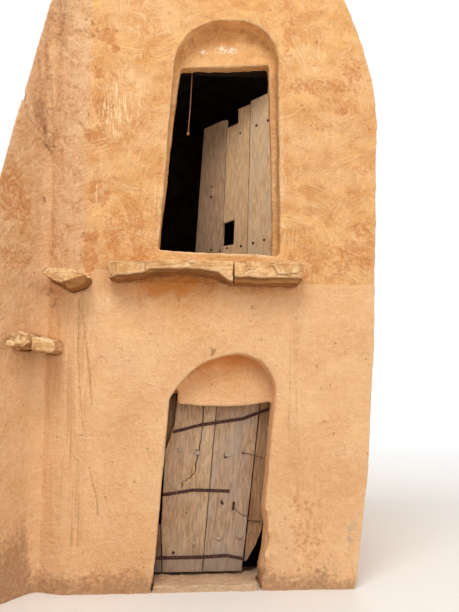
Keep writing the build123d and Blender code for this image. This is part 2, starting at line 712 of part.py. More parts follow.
with BuildPart() as upper_door_plank_left:
    with BuildSketch(upper_leaf_plane(0)):
        with BuildLine():
            Polyline(
                (UPPER_JOINT_LEFT[0], upper_foot), (UPPER_LEAF_END[0], upper_foot),
                (UPPER_LEAF_END[1], UPPER_LEFT_TOP[2]), (UPPER_LEFT_PEAK, UPPER_LEFT_TOP[1]),
                (UPPER_JOINT_LEFT[1], UPPER_LEFT_TOP[0]), close=True,
            )
        make_face()
    extrude(amount=BOARD)

with BuildPart() as upper_door_post:
    with BuildSketch(upper_leaf_plane(0)):
        window(-UPPER_POST, 0, UPPER_FLOOR, UPPER_EMBRASURE_TOP, mode=Mode.ADD)
    extrude(amount=UPPER_POST)

with BuildPart() as upper_door_battens:
    with BuildSketch(upper_leaf_plane(BOARD)):
        for foot, length in (UPPER_LOW_BATTEN, UPPER_HIGH_BATTEN):
            window(0, length, foot, foot + BATTEN_HEIGHT, mode=Mode.ADD)
    extrude(amount=BATTEN_THICK)

# Cord with a knot at its end, hanging from the underside of the upper lintel

cord_route = [
    (CORD_X, SCREEN_BACK + CORD_Y, UPPER_EMBRASURE_TOP),
    (CORD_X, SCREEN_BACK + CORD_Y, UPPER_EMBRASURE_TOP - 95),
    (CORD_X - 7, SCREEN_BACK + CORD_Y - 2, UPPER_EMBRASURE_TOP - 190),
    (CORD_X - 10, SCREEN_BACK + CORD_Y + 2, UPPER_EMBRASURE_TOP - 285),
    (CORD_X - 16, SCREEN_BACK + CORD_Y + 1, UPPER_EMBRASURE_TOP - 380),
    (CORD_X - 23, SCREEN_BACK + CORD_Y + 4, UPPER_EMBRASURE_TOP - 475),
    (CORD_X - 29, SCREEN_BACK + CORD_Y + 2, UPPER_EMBRASURE_TOP - 565),
]
runs = [Vector(*b) - Vector(*a) for a, b in zip(cord_route, cord_route[1:])]
cord_radii = [
    0.45 * min(before.length, after.length) / math.tan(math.radians(before.get_angle(after)) / 2)
    for before, after in zip(runs, runs[1:])
]
print("cord bend radii, mm:", [round(radius) for radius in cord_radii])

with BuildPart() as hanging_cord:
    with BuildLine() as cord_line:
        FilletPolyline(*cord_route, radius=cord_radii)
    with BuildSketch(Plane(origin=cord_route[0], z_dir=runs[0])):
        Circle(CORD_DIAMETER / 2)
    sweep(path=cord_line.line)

with BuildPart() as cord_knot:
    with BuildSketch(Plane(origin=cord_route[-1], z_dir=runs[-1])):
        Circle(KNOT_RADIUS)
    extrude(amount=KNOT_LENGTH)
    fillet(cord_knot.faces().sort_by(Axis.Z)[0].edges(), radius=KNOT_RADIUS * 0.6)

pieces = {
    "threshold": threshold,
    "lower_floor": lower_floor,
    "lower_left_wall": lower_left_wall,
    "lower_right_wall": lower_right_wall,
    "lower_back_wall": lower_back_wall,
    "lower_vault": lower_vault,
    "lower_front_left": lower_front_left,
    "lower_front_right": lower_front_right,
    "lower_front_arch": lower_front_arch,
    "lower_tympanum": lower_tympanum,
    "lower_lintel": lower_lintel,
    "upper_floor": upper_floor,
    "upper_left_wall": upper_left_wall,
    "upper_right_wall": upper_right_wall,
    "upper_back_wall": upper_back_wall,
    "upper_vault": upper_vault,
    "upper_front_left": upper_front_left,
    "upper_front_right": upper_front_right,
    "upper_front_gable": upper_front_gable,
    "upper_tympanum": upper_tympanum,
    "upper_lintel": upper_lintel,
    "upper_sill": upper_sill,
    "ledge_slab_left": ledge_slab_left,
    "ledge_slab_right": ledge_slab_right,
    "step_stone_low_left": step_stone_low_left,
    "step_stone_low_right": step_stone_low_right,
    "step_stone_high": step_stone_high,
    "corner_wing": corner_wing,
    "upper_door_plank_left": upper_door_plank_left,
    "upper_door_plank_middle": upper_door_plank_middle,
    "upper_door_plank_right": upper_door_plank_right,
    "upper_door_post": upper_door_post,
    "upper_door_battens": upper_door_battens,
    "hanging_cord": hanging_cord,
    "cord_knot": cord_knot,
    "door_plank_left": door_plank_left,
    "door_plank_middle": door_plank_middle,
    "door_plank_right": door_plank_right,
    "door_wedge": door_wedge,
    "door_lock_stile": door_lock_stile,
    "door_pivot_post": door_pivot_post,
    "door_battens": door_battens,
    "door_strap_top": door_strap_top,
    "door_strap_middle": door_strap_middle,
    "door_strap_bottom": door_strap_bottom,
}

for name, piece in pieces.items():
    piece.part.label = name
    export_step(piece.part, f"parts/{name}.step")
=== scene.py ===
"""Looks of a fortified granary cell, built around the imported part.

Two vaulted store rooms stand one above the other behind one tall front of hand-laid earth plaster over
rubble. Everything is in metres in the part's own frame: the front faces -Y and the ground is z = 0.
"""

from __future__ import annotations

import itertools
import logging
import math
import random
from dataclasses import dataclass, field
from enum import Enum
from typing import Any, Iterable, Sequence

import bmesh
import bpy
import numpy as np
from mathutils import Matrix, Vector


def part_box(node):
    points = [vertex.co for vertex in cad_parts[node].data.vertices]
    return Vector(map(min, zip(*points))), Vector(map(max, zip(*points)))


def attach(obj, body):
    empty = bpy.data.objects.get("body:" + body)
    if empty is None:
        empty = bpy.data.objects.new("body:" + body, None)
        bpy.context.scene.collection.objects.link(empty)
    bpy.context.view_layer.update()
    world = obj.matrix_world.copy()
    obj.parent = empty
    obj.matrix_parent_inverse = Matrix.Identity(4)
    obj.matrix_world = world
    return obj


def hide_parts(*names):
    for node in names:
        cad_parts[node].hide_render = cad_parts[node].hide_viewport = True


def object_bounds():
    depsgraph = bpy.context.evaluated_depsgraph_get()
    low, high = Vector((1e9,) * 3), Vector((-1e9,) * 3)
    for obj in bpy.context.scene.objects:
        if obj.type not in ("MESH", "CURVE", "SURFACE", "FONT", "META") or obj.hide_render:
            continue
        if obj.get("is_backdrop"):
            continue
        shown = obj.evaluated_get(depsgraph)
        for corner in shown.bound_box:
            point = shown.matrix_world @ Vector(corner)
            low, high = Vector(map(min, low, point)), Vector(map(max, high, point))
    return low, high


LOG = logging.getLogger("granary")
MM = 0.001
MERGE = 1e-5                   # points closer than this are one
SMOOTH = {"interpolation_type": "SMOOTHSTEP"}

Point = tuple[float, float, float]
Spot = tuple[float, float]
Mark = tuple[float, float, float, float]   # X and Z, then two sizes
Shades = tuple[str, str]
Names = tuple[str, ...]
Plane = tuple[Point, Point]                # a point of it, and the way towards what is cut off
Array = np.ndarray
Shells = bmesh.types.BMesh
Mesh = bpy.types.Mesh
Object = bpy.types.Object
Socket = bpy.types.NodeSocket
Material = bpy.types.Material


class Body(Enum):
    """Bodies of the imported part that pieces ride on."""

    BUILDING = "building"
    LOWER_DOOR = "lower_door"


class Slot(Enum):
    """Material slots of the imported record."""

    MASONRY = "earth_masonry"
    STONE = "field_stone"
    WOOD = "weathered_wood"
    IRON = "wrought_iron"
    CORD = "plant_cord"


def linear(hex_colour: str) -> tuple[float, float, float, float]:
    """Turn an sRGB hex value into the linear colour that a shader socket takes.

    Args:
        hex_colour: The colour as "#RRGGBB".

    Returns:
        Linear red, green and blue, and an alpha of 1.
    """
    channels = [int(hex_colour[i : i + 2], 16) / 255 for i in (1, 3, 5)]
    red, green, blue = (c / 12.92 if c <= 0.04045 else ((c + 0.055) / 1.055) ** 2.4 for c in channels)
    return (red, green, blue, 1.0)


class Canvas:
    """The nodes of a material or a world, and the place in the object that its patterns read."""

    def __init__(self, owner: Material | bpy.types.World) -> None:
        """Clear the owner's nodes to make room for new ones.

        Args:
            owner: The material or world.
        """
        owner.use_nodes = True
        self.owner = owner
        self.tree = owner.node_tree
        self.tree.nodes.clear()
        self.drawn: dict[Grain | Sweeps, Socket] = {}
        self.place = self.add("ShaderNodeTexCoord")["Object"]

    def add(
        self, kind: str, settings: dict[str | int, Any] | None = None, links: dict[str | int, Mask] | None = None
    ) -> bpy.types.NodeOutputs:
        """Add a node with its settings and links.

        Args:
            kind: The node's type name.
            settings: Properties by name, and input values by input name or index.
            links: Sockets or patterns by the name or index of the input they feed.

        Returns:
            The new node's outputs.
        """
        node = self.tree.nodes.new(kind)
        for key, value in (settings or {}).items():
            if isinstance(key, str) and hasattr(node, key):
                setattr(node, key, value)
            else:
                node.inputs[key].default_value = value
        for key, mask in (links or {}).items():
            self.tree.links.new(self.socket(mask), node.inputs[key])
        return node.outputs

    def socket(self, mask: Mask) -> Socket:
        """Find a mask's socket. A pattern is drawn the first time that it is asked for.

        Args:
            mask: A socket or a pattern.

        Returns:
            Its socket.
        """
        if isinstance(mask, Socket):
            return mask
        if mask not in self.drawn:
            self.drawn[mask] = mask.spread(self)
        return self.drawn[mask]

    def painted(self, name: str) -> tuple[Socket, Socket, Socket, Socket]:
        """Read the four masks of a colour attribute.

        Args:
            name: The attribute's name.

        Returns:
            The masks.
        """
        attribute = self.add("ShaderNodeAttribute", {"attribute_name": name})
        parts = self.add("ShaderNodeSeparateColor", {}, {0: attribute["Color"]})
        return parts[0], parts[1], parts[2], attribute["Alpha"]

    def ragged(self, mask: Socket, edge: Mask, depth: float, low: float, high: float) -> Socket:
        """Turn a soft painted mask into one with a ragged border.

        Args:
            mask: The painted mask, which is 0.5 at the border.
            edge: The pattern that frays it.
            depth: How far it frays.
            low: The level that becomes 0.
            high: The level that becomes 1.

        Returns:
            The frayed mask.
        """
        frayed = self.add("ShaderNodeMath", {"operation": "MULTIPLY_ADD", 1: depth}, {0: edge, 2: mask})
        ends = {"From Min": low + depth / 2, "From Max": high + depth / 2}
        return self.add("ShaderNodeMapRange", ends | SMOOTH, {"Value": frayed[0]})[0]

    def coated(self, shades: Shades, pattern: Mask, below: Socket | None = None, zone: Mask | None = None) -> Socket:
        """Blend two shades by a pattern, and lay them over an older coat where there is one.

        Args:
            shades: The two colours.
            pattern: Where the second colour shows.
            below: The older coat.
            zone: Where the new coat covers it.

        Returns:
            The colour of the whole.
        """
        low, high = shades
        coat = self.add("ShaderNodeMix", {"data_type": "RGBA", 6: linear(low), 7: linear(high)}, {0: pattern})[2]
        if below is None:
            return coat
        return self.add("ShaderNodeMix", {"data_type": "RGBA"}, {0: zone, 6: below, 7: coat})[2]

    def tinted(self, base: Socket, *layers: Tint) -> Socket:
        """Lay tints over a colour, one after the other.

        Args:
            base: The colour below all layers.
            layers: The tints, the lowest first.

        Returns:
            The finished colour.
        """
        for layer in layers:
            amount = self.add(
                "ShaderNodeMath", {"operation": "MULTIPLY", 1: layer.strength, "use_clamp": True}, {0: layer.mask}
            )
            if layer.within is not None:
                amount = self.add("ShaderNodeMath", {"operation": "MULTIPLY"}, {0: amount[0], 1: layer.within})
            base = self.add(
                "ShaderNodeMix", {"data_type": "RGBA", 7: linear(layer.colour)}, {0: amount[0], 6: base}
            )[2]
        return base

    def relief(self, *layers: tuple[Mask, float]) -> Socket:
        """Add up patterns, each times its depth in metres, into one height.

        Args:
            layers: The patterns and their depths.

        Returns:
            The height.
        """
        total: Socket | None = None
        for pattern, depth in layers:
            links = {0: pattern} if total is None else {0: pattern, 2: total}
            total = self.add("ShaderNodeMath", {"operation": "MULTIPLY_ADD", 1: depth, 2: 0.0}, links)[0]
        return total

    def surfaced(
        self, colour: Socket, height: Socket, roughness: float, specular: float = 0.2, metallic: float = 0.0
    ) -> Material:
        """Finish a material.

        Args:
            colour: Its colour.
            height: Its relief, in metres.
            roughness: How dull it is.
            specular: How strong its gloss is.
            metallic: How metallic it is.

        Returns:
            The material.
        """
        bump = self.add("ShaderNodeBump", {"Strength": 1.0, "Distance": 1.0}, {"Height": height})
        shader = self.add(
            "ShaderNodeBsdfPrincipled",
            {"Roughness": roughness, "Specular IOR Level": specular, "Metallic": metallic},
            {"Base Color": colour, "Normal": bump[0]},
        )
        self.add("ShaderNodeOutputMaterial", {}, {"Surface": shader[0]})
        return self.owner


@dataclass(frozen=True)
class Grain:
    """A noise pattern: how large its lumps are, and which levels of it become 0 and 1."""

    size: float
    low: float = 0.35
    high: float = 0.65
    detail: float = 4.0
    stretch: Point = (1.0, 1.0, 1.0)   # how many times longer the lumps are along each axis
    turn: Point = (0.0, 0.0, 0.0)      # radians that the axes are turned
    wander: float = 0.0
    roughness: float = 0.6

    def spread(self, canvas: Canvas) -> Socket:
        """Draw the pattern.

        Args:
            canvas: The nodes that it is drawn among.

        Returns:
            A mask from 0 to 1.
        """
        turned = canvas.add("ShaderNodeMapping", {"Rotation": self.turn}, {"Vector": canvas.place})
        scale = tuple(1 / (self.size * s) for s in self.stretch)
        scaled = canvas.add("ShaderNodeMapping", {"Scale": scale}, {"Vector": turned[0]})
        noise = canvas.add(
            "ShaderNodeTexNoise",
            {"Scale": 1.0, "Detail": self.detail, "Roughness": self.roughness, "Distortion": self.wander},
            {"Vector": scaled[0]},
        )
        ends = {"From Min": self.low, "From Max": self.high}
        return canvas.add("ShaderNodeMapRange", ends | SMOOTH, {"Value": noise["Fac"]})[0]


@dataclass(frozen=True)
class Sweeps:
    """Arcs that the plasterer's hand left, each handful of them round a centre of its own."""

    reach: float = 0.3         # from one handful to the next, in metres
    bend: float = 1.3          # how far off the arcs' centres lie
    step: float = 0.017        # from one arc to the next
    length: float = 0.13
    low: float = 0.46          # the levels that become 0 and 1
    high: float = 0.66
    detail: float = 3.0
    roughness: float = 0.6

    def spread(self, canvas: Canvas) -> Socket:
        """Draw the pattern.

        Args:
            canvas: The nodes that it is drawn among.

        Returns:
            A mask from 0 to 1.
        """
        place = canvas.place
        cells = canvas.add("ShaderNodeTexVoronoi", {"Scale": 1 / self.reach, "Randomness": 1.0}, {"Vector": place})
        away = canvas.add("ShaderNodeVectorMath", {"operation": "SUBTRACT"}, {0: place, 1: cells["Position"]})
        shifted = canvas.add(
            "ShaderNodeVectorMath", {"operation": "MULTIPLY_ADD", 1: (self.bend,) * 3}, {0: cells["Color"], 2: away[0]}
        )
        centred = canvas.add(
            "ShaderNodeVectorMath", {"operation": "SUBTRACT", 1: (self.bend / 2,) * 3}, {0: shifted[0]}
        )
        radius = canvas.add("ShaderNodeVectorMath", {"operation": "LENGTH"}, {0: centred[0]})["Value"]
        rings = canvas.add("ShaderNodeMath", {"operation": "DIVIDE", 1: self.step}, {0: radius})
        rings = canvas.add("ShaderNodeCombineXYZ", {}, {0: rings[0]})
        along = canvas.add(
            "ShaderNodeVectorMath", {"operation": "MULTIPLY_ADD", 1: (1 / self.length,) * 3}, {0: place, 2: rings[0]}
        )
        arcs = canvas.add(
            "ShaderNodeTexNoise", {"Scale": 1.0, "Detail": self.detail, "Roughness": self.roughness},
            {"Vector": along[0]},
        )
        ends = {"From Min": self.low, "From Max": self.high}
        return canvas.add("ShaderNodeMapRange", ends | SMOOTH, {"Value": arcs["Fac"]})[0]


Mask = Socket | Grain | Sweeps


@dataclass(frozen=True)
class Tint:
    """One layer of colour over what lies below it, perhaps only where a second mask holds too."""

    mask: Mask
    colour: str
    strength: float
    within: Mask | None = None


@dataclass(frozen=True)
class EarthPlaster:
    """Hand-laid earth plaster: dull, sandy, patched and washed by rain, which hides all but its lumps.

    The newer coat below the ledge is smooth and peach, the older one above it is ochre, blotched and rough.
    Sand and chaff are drawn coarser than life so that they show.
    """

    name: str = "earth_plaster_hand_laid"
    new_coat: Shades = ("#DFA46F", "#F0BB84")
    old_coat: Shades = ("#D69450", "#F0B66F")
    corner_coat: Shades = ("#D6A06F", "#E6B989")
    wing_coat: Shades = ("#D19861", "#E4B283")
    blush: str = "#E3AC82"
    # Also the colour of the painted shade under the ledge and in the niches.
    stain: str = "#CF7A2A"
    soil: str = "#94694E"
    run: str = "#BC8552"
    bare: str = "#C47A40"
    pale: str = "#FBD6A6"
    ash: str = "#BBA48E"
    chip: str = "#FFF6E2"
    grit: str = "#8F5F3A"
    crack: str = "#7A4E30"
    clouds: Grain = Grain(0.6, 0.36, 0.64, 5)
    blotches: Grain = Grain(0.26, 0.36, 0.64, 6)
    mottle: Grain = Grain(0.045, 0.36, 0.66, 5)
    edge: Grain = Grain(0.03, 0.25, 0.75, 6)
    blots: Grain = Grain(0.11, 0.5, 0.62, 6, (1.4, 1.0, 1.0))
    sweeps: Sweeps = Sweeps()
    sand: Grain = Grain(0.011, 0.3, 0.72, 3)
    dark_sand: Grain = Grain(0.015, 0.5, 0.72, 3)
    speckle: Grain = Grain(0.014, 0.66, 0.72, 2)
    pocks: Grain = Grain(0.017, 0.57, 0.63, 2)
    chipped: Grain = Grain(0.015, 0.5, 0.55, 2)
    pits: Grain = Grain(0.034, 0.7, 0.76, 2)
    pale_grains: Grain = Grain(0.017, 0.68, 0.74, 2)
    trowelled: Grain = Grain(0.018, 0.44, 0.7, 4, (8.0, 8.0, 1.0), (0.0, 0.06, 0.0), 0.3)
    ridges: Grain = Grain(0.026, 0.4, 0.66, 4, (1.0, 9.0, 1.0), (-0.6, 0.0, 0.0))
    brushed: Grain = Grain(0.014, 0.5, 0.68, 4, (1.0, 1.0, 14.0), (0.0, -0.05, 0.0))
    scratches: Grain = Grain(0.011, 0.54, 0.61, 2, (1.0, 1.0, 12.0), (0.0, 0.08, 0.0))
    runs: Grain = Grain(0.017, 0.5, 0.66, 3, (1.0, 1.0, 34.0))
    broad_runs: Grain = Grain(0.055, 0.48, 0.62, 3, (1.0, 1.0, 14.0))
    # Arrises pale as worn edges and as a painted highlight; hollows darken with grit and painted shade.
    worn: Spot = (0.44, 0.2)   # levels of the hollows at which arrises begin and end to pale
    hollow_dirt_and_shade: Spot = (0.56, 0.85)  # and at which hollows darken

    def material(self) -> Material:
        """Build the plaster's material, which reads the masks that the weathering painted on the mesh.

        Returns:
            The material.
        """
        canvas = Canvas(bpy.data.materials.new(self.name))
        stain, soil, bare, pale = canvas.painted(Weathering.WEATHER)
        old, corner, wing, washed = canvas.painted(Weathering.ZONE)
        drips, cracks, combed, hollow = canvas.painted(Weathering.MARKS)
        ashy, chips, _, _ = canvas.painted(Weathering.ASH)
        worn, hollow_dirt_and_shade = (
            canvas.add("ShaderNodeMapRange", {"From Min": low, "From Max": high}, {"Value": hollow})[0]
            for low, high in (self.worn, self.hollow_dirt_and_shade)
        )
        fresh = canvas.add("ShaderNodeMath", {"operation": "SUBTRACT", 0: 1.0}, {1: old})[0]
        colour = canvas.coated(self.new_coat, self.clouds)
        for shades, zone in ((self.old_coat, old), (self.corner_coat, corner), (self.wing_coat, wing)):
            colour = canvas.coated(shades, self.blotches, colour, zone)
        colour = canvas.tinted(
            colour,
            Tint(self.clouds, self.blush, 0.5, self.blotches),
            Tint(self.mottle, self.pale, 0.22),
            Tint(self.mottle, self.bare, 0.26, old),
            Tint(self.dark_sand, self.grit, 0.13),
            Tint(self.dark_sand, self.grit, 0.14, old),
            Tint(self.sand, self.pale, 0.16),
            Tint(self.trowelled, self.pale, 0.16, fresh),
            Tint(self.blots, self.bare, 0.32, old),
            Tint(self.brushed, self.bare, 0.12, old),
            Tint(self.sweeps, self.pale, 0.14),
            Tint(self.sweeps, self.pale, 0.12, old),
            Tint(self.ridges, self.grit, 0.16, wing),
            Tint(canvas.ragged(pale, self.sweeps, 0.4, 0.25, 1.1), self.pale, 0.55),
            Tint(canvas.ragged(bare, self.edge, 0.8, 0.25, 1.0), self.bare, 0.7),
            Tint(self.sweeps, self.pale, 0.22, bare),
            # Stains, with painted shade under the ledge and at the tops of the tympana.
            Tint(canvas.ragged(stain, self.edge, 0.2, 0.0, 1.0), self.stain, 0.92),
            # Soil, with painted shade in the wing's creases, in the hole under the high step and below the lump.
            Tint(canvas.ragged(soil, self.edge, 0.5, 0.25, 1.0), self.soil, 0.6),
            Tint(canvas.ragged(ashy, self.edge, 0.5, 0.3, 0.9), self.ash, 0.55),
            Tint(self.runs, self.run, 0.4, washed),
            Tint(self.broad_runs, self.run, 0.34, washed),
            Tint(self.scratches, self.pale, 0.85, combed),
            Tint(canvas.ragged(drips, self.edge, 0.4, 0.45, 0.95), self.run, 0.6),
            Tint(canvas.ragged(cracks, self.edge, 0.3, 0.55, 0.9), self.crack, 0.5),
            Tint(self.speckle, self.grit, 0.45),
            Tint(self.pocks, self.grit, 0.2, corner),
            Tint(self.chipped, self.chip, 0.95, chips),
            Tint(self.pits, self.grit, 0.55),
            Tint(self.pale_grains, self.pale, 0.45),
            # Pale arrises: wear and painted highlight. Dark hollows: grit and painted shade.
            Tint(worn, self.pale, 0.45),
            Tint(hollow_dirt_and_shade, self.grit, 0.4),
        )
        combing = canvas.add("ShaderNodeMath", {"operation": "MULTIPLY"}, {0: self.ridges, 1: wing})[0]
        height = canvas.relief(
            (self.sand, 0.0022), (self.dark_sand, -0.002), (self.mottle, 0.0034), (self.edge, 0.002),
            (self.trowelled, 0.0016), (self.sweeps, 0.0016), (self.pits, -0.006), (cracks, -0.003),
            (combing, 0.004),
        )
        return canvas.surfaced(colour, height, roughness=0.93, specular=0.15)


@dataclass(frozen=True)
class RoomPlaster:
    """Plaster of the store rooms, darkened as painted shade so that the doorways look black."""

    name: str = "earth_plaster_soot_darkened"
    shades: Shades = ("#57483A", "#7A6650")
    clouds: Grain = Grain(0.25, 0.3, 0.7)
    lumps: Grain = Grain(0.017, 0.2, 0.8)

    def material(self) -> Material:
        """Build the dark, dull material with its soft clouds and lumps.

        Returns:
            The material.
        """
        canvas = Canvas(bpy.data.materials.new(self.name))
        colour = canvas.coated(self.shades, self.clouds)
        return canvas.surfaced(colour, canvas.relief((self.lumps, 0.004)), roughness=0.95, specular=0.1)


@dataclass(frozen=True)
class SplitStone:
    """Soft limestone split along its beds and left rough: pale where it broke and tan elsewhere, with painted
    highlights on its tops and arrises and painted shade on its undersides and lower bed.
    """

    name: str = "limestone_split_slab"
    shades: Shades = ("#CC955C", "#EBBC84")
    # Pale of fresh breaks, used too as the painted highlight on tops and arrises.
    fresh: str = "#F9DDB2"
    # Dark of the beds' lines, and of dirt and painted shade in hollows.
    dirt_and_shade: str = "#7A4B24"
    # Grime and painted shade on the lower bed and on undersides.
    grime_and_shade: str = "#8F5A2A"
    blotch: Grain = Grain(0.07, 0.36, 0.64, 6)
    beds: Grain = Grain(0.016, 0.52, 0.66, 3, (9.0, 9.0, 1.0), (0.0, 0.0, 0.0), 0.4)
    grit: Grain = Grain(0.0055, 0.25, 0.75, 3)
    chips: Grain = Grain(0.022, 0.56, 0.64, 3)
    lit_top: Spot = (0.2, 0.8)   # how far a side faces up where the painted highlight on tops begins, and where it is full
    # how far a side faces down where painted shade begins, and where it is full
    below: Spot = (-0.2, -0.8)
    # arrises lighten with the fresh colour as a painted highlight
    worn: Spot = (0.46, 0.22)
    hollow_dirt_and_shade: Spot = (0.54, 0.78)

    def material(self) -> Material:
        """Build the material with thin level beds, pale breaks, dirt and painted shade in the hollows, painted shade
        below and painted highlight above.

        Returns:
            The material.
        """
        canvas = Canvas(bpy.data.materials.new(self.name))
        grime_and_shade, _, _, hollow = canvas.painted(Weathering.MARKS)
        normal = canvas.add("ShaderNodeNewGeometry")["Normal"]
        upward = canvas.add("ShaderNodeSeparateXYZ", {}, {0: normal})[2]
        lit_top, below, worn, hollow_dirt_and_shade = (
            canvas.add("ShaderNodeMapRange", {"From Min": low, "From Max": high}, {"Value": value})[0]
            for value, (low, high) in (
                (upward, self.lit_top), (upward, self.below), (hollow, self.worn), (hollow, self.hollow_dirt_and_shade),
            )
        )
        clean = canvas.add("ShaderNodeMath", {"operation": "SUBTRACT", 0: 1.0}, {1: grime_and_shade})[0]
        colour = canvas.tinted(
            canvas.coated(self.shades, self.blotch),
            Tint(self.chips, self.fresh, 0.35),
            Tint(self.beds, self.dirt_and_shade, 0.28),
            # painted shade on sides that face down
            Tint(below, self.grime_and_shade, 0.65),
            # the lower bed: grime and painted shade
            Tint(grime_and_shade, self.grime_and_shade, 0.88),
            Tint(self.beds, self.dirt_and_shade, 0.5, grime_and_shade),
            # painted highlight on sides that face up, and on arrises
            Tint(lit_top, self.fresh, 0.6, clean),
            Tint(worn, self.fresh, 0.36, clean),
            Tint(hollow_dirt_and_shade, self.dirt_and_shade, 0.35),
        )
        height = canvas.relief((self.beds, -0.002), (self.grit, 0.0012))
        return canvas.surfaced(colour, height, roughness=0.9, specular=0.25)


@dataclass(frozen=True)
class WeatheredBoard:
    """Palm or olive board, hewn and left bare: dry, greyed, with open grain and rust round its nails.

    The fibre is drawn a few times wider than life so that it shows.
    """

    name: str
    dark: str = "#5C442E"
    light: str = "#93714E"
    grey: str = "#85735F"
    greyness: float = 0.3
    lean: float = 0.0          # radians that the grain leans from upright, seen from the front
    turn: float = 0.0          # radians that the board is turned about the upright
    offset: float = 0.0        # metres that set one board's pattern off from the next
    rust: str = "#93572E"
    crack: str = "#1E140D"
    damp: str = "#857A72"
    raw: str = "#C79A68"
    dry: str = "#CDB294"
    figure: Grain = Grain(0.015, 0.28, 0.72, 6, (1.0, 1.0, 7.0), wander=0.5)
    lines: Grain = Grain(0.006, 0.56, 0.72, 5, (1.0, 1.0, 14.0), wander=0.5)
    specks: Grain = Grain(0.0085, 0.58, 0.7, 3, (1.0, 1.0, 1.8))
    fibre: Grain = Grain(0.004, 0.35, 0.75, 4, (1.0, 1.0, 24.0))
    checks: Grain = Grain(0.007, 0.69, 0.74, 2, (1.0, 1.0, 34.0))
    bleached: Grain = Grain(0.13, 0.38, 0.62, 5, (1.0, 1.0, 2.0))
    tanned: Grain = Grain(0.07, 0.52, 0.72, 5, (1.0, 1.0, 2.5))
    blots: Grain = Grain(0.018, 0.62, 0.72, 3, (1.0, 1.0, 2.2))
    edge: Grain = Grain(0.012, 0.2, 0.8, 5, (1.0, 1.0, 2.0))
    worn: Spot = (0.45, 0.2)
    damp_top: float = 0.26     # splashes reach up to here
    damp_full: float = 0.15

    def material(self) -> Material:
        """Build the material, whose grain runs along the board.

        Returns:
            The material.
        """
        canvas = Canvas(bpy.data.materials.new(self.name))
        cracks, raw, rust, hollow = canvas.painted(Weathering.MARKS)
        height_above = canvas.add("ShaderNodeSeparateXYZ", {}, {0: canvas.place})[2]
        turned = canvas.add(
            "ShaderNodeMapping",
            {"Rotation": (0.0, 0.0, self.turn), "Location": (self.offset, 0.0, self.offset * 3)},
            {"Vector": canvas.place},
        )
        canvas.place = canvas.add("ShaderNodeMapping", {"Rotation": (0.0, -self.lean, 0.0)}, {"Vector": turned[0]})[0]
        low, high = self.worn
        worn = canvas.add("ShaderNodeMapRange", {"From Min": low, "From Max": high}, {"Value": hollow})[0]
        ends = {"From Min": self.damp_top, "From Max": self.damp_full}
        foot = canvas.add("ShaderNodeMapRange", ends | SMOOTH, {"Value": height_above})[0]
        colour = canvas.tinted(
            canvas.coated((self.dark, self.light), self.figure),
            Tint(self.bleached, self.grey, self.greyness),
            Tint(self.tanned, self.rust, 0.16),
            Tint(self.fibre, self.light, 0.3),
            Tint(self.lines, self.dark, 0.38),
            Tint(self.blots, self.dark, 0.45),
            Tint(self.specks, self.crack, 0.26),
            Tint(self.checks, self.crack, 0.4),
            Tint(canvas.ragged(rust, self.edge, 0.6, 0.3, 0.8), self.rust, 0.7),
            Tint(canvas.ragged(raw, self.edge, 0.5, 0.35, 0.65), self.raw, 0.75),
            Tint(canvas.ragged(cracks, self.edge, 0.2, 0.45, 0.7), self.crack, 0.95),
            Tint(worn, self.dry, 0.35),
            Tint(foot, self.damp, 0.45),
        )
        height = canvas.relief((self.fibre, 0.0006), (self.lines, -0.0008), (self.checks, -0.0015), (cracks, -0.003))
        return canvas.surfaced(colour, height, roughness=0.82, specular=0.25)


@dataclass(frozen=True)
class WroughtIron:
    """Hammered wrought iron gone to old rust: purple-brown scale with dull orange where it flaked."""

    name: str = "wrought_iron_rusted"
    shades: Shades = ("#3E2926", "#603E32")
    flake: str = "#B48C68"
    scale: Grain = Grain(0.022, 0.4, 0.62, 5)
    flaked: Grain = Grain(0.03, 0.66, 0.71, 4)
    hammered: Grain = Grain(0.006, 0.2, 0.8)

    def material(self) -> Material:
        """Build the rough, hardly shining metal with its patches of rust.

        Returns:
            The material.
        """
        canvas = Canvas(bpy.data.materials.new(self.name))
        colour = canvas.tinted(canvas.coated(self.shades, self.scale), Tint(self.flaked, self.flake, 0.7))
        height = canvas.relief((self.hammered, 0.0012))
        return canvas.surfaced(colour, height, roughness=0.8, specular=0.3, metallic=0.25)


@dataclass(frozen=True)
class PlantCord:
    """Twisted plant-fibre cord: reddish brown, dull, with slanting strands."""

    name: str = "plant_fibre_cord_twisted"
    shades: Shades = ("#74432F", "#C98B69")
    lay: float = 0.012         # metres along the cord for one turn of a strand
    slant: float = 0.7         # radians that the strands lean
    band: float = 0.314        # the wave texture's scale at which its bands lie a metre apart

    def material(self) -> Material:
        """Build the fibrous material with slanting bands.

        Returns:
            The material.
        """
        canvas = Canvas(bpy.data.materials.new(self.name))
        slanted = canvas.add("ShaderNodeMapping", {"Rotation": (0.0, self.slant, 0.0)}, {"Vector": canvas.place})
        strands = canvas.add(
            "ShaderNodeTexWave", {"Scale": self.band / self.lay, "Distortion": 1.5, "bands_direction": "Z"},
            {"Vector": slanted[0]},
        )["Fac"]
        return canvas.surfaced(canvas.coated(self.shades, strands), canvas.relief((strands, 0.0008)), roughness=0.9)


def smooth_range(low: float, high: float, values: Array) -> Array:
    """Rise smoothly from 0 at low to 1 at high."""
    t = np.clip((values - low) / (high - low), 0.0, 1.0)
    return t * t * (3 - 2 * t)


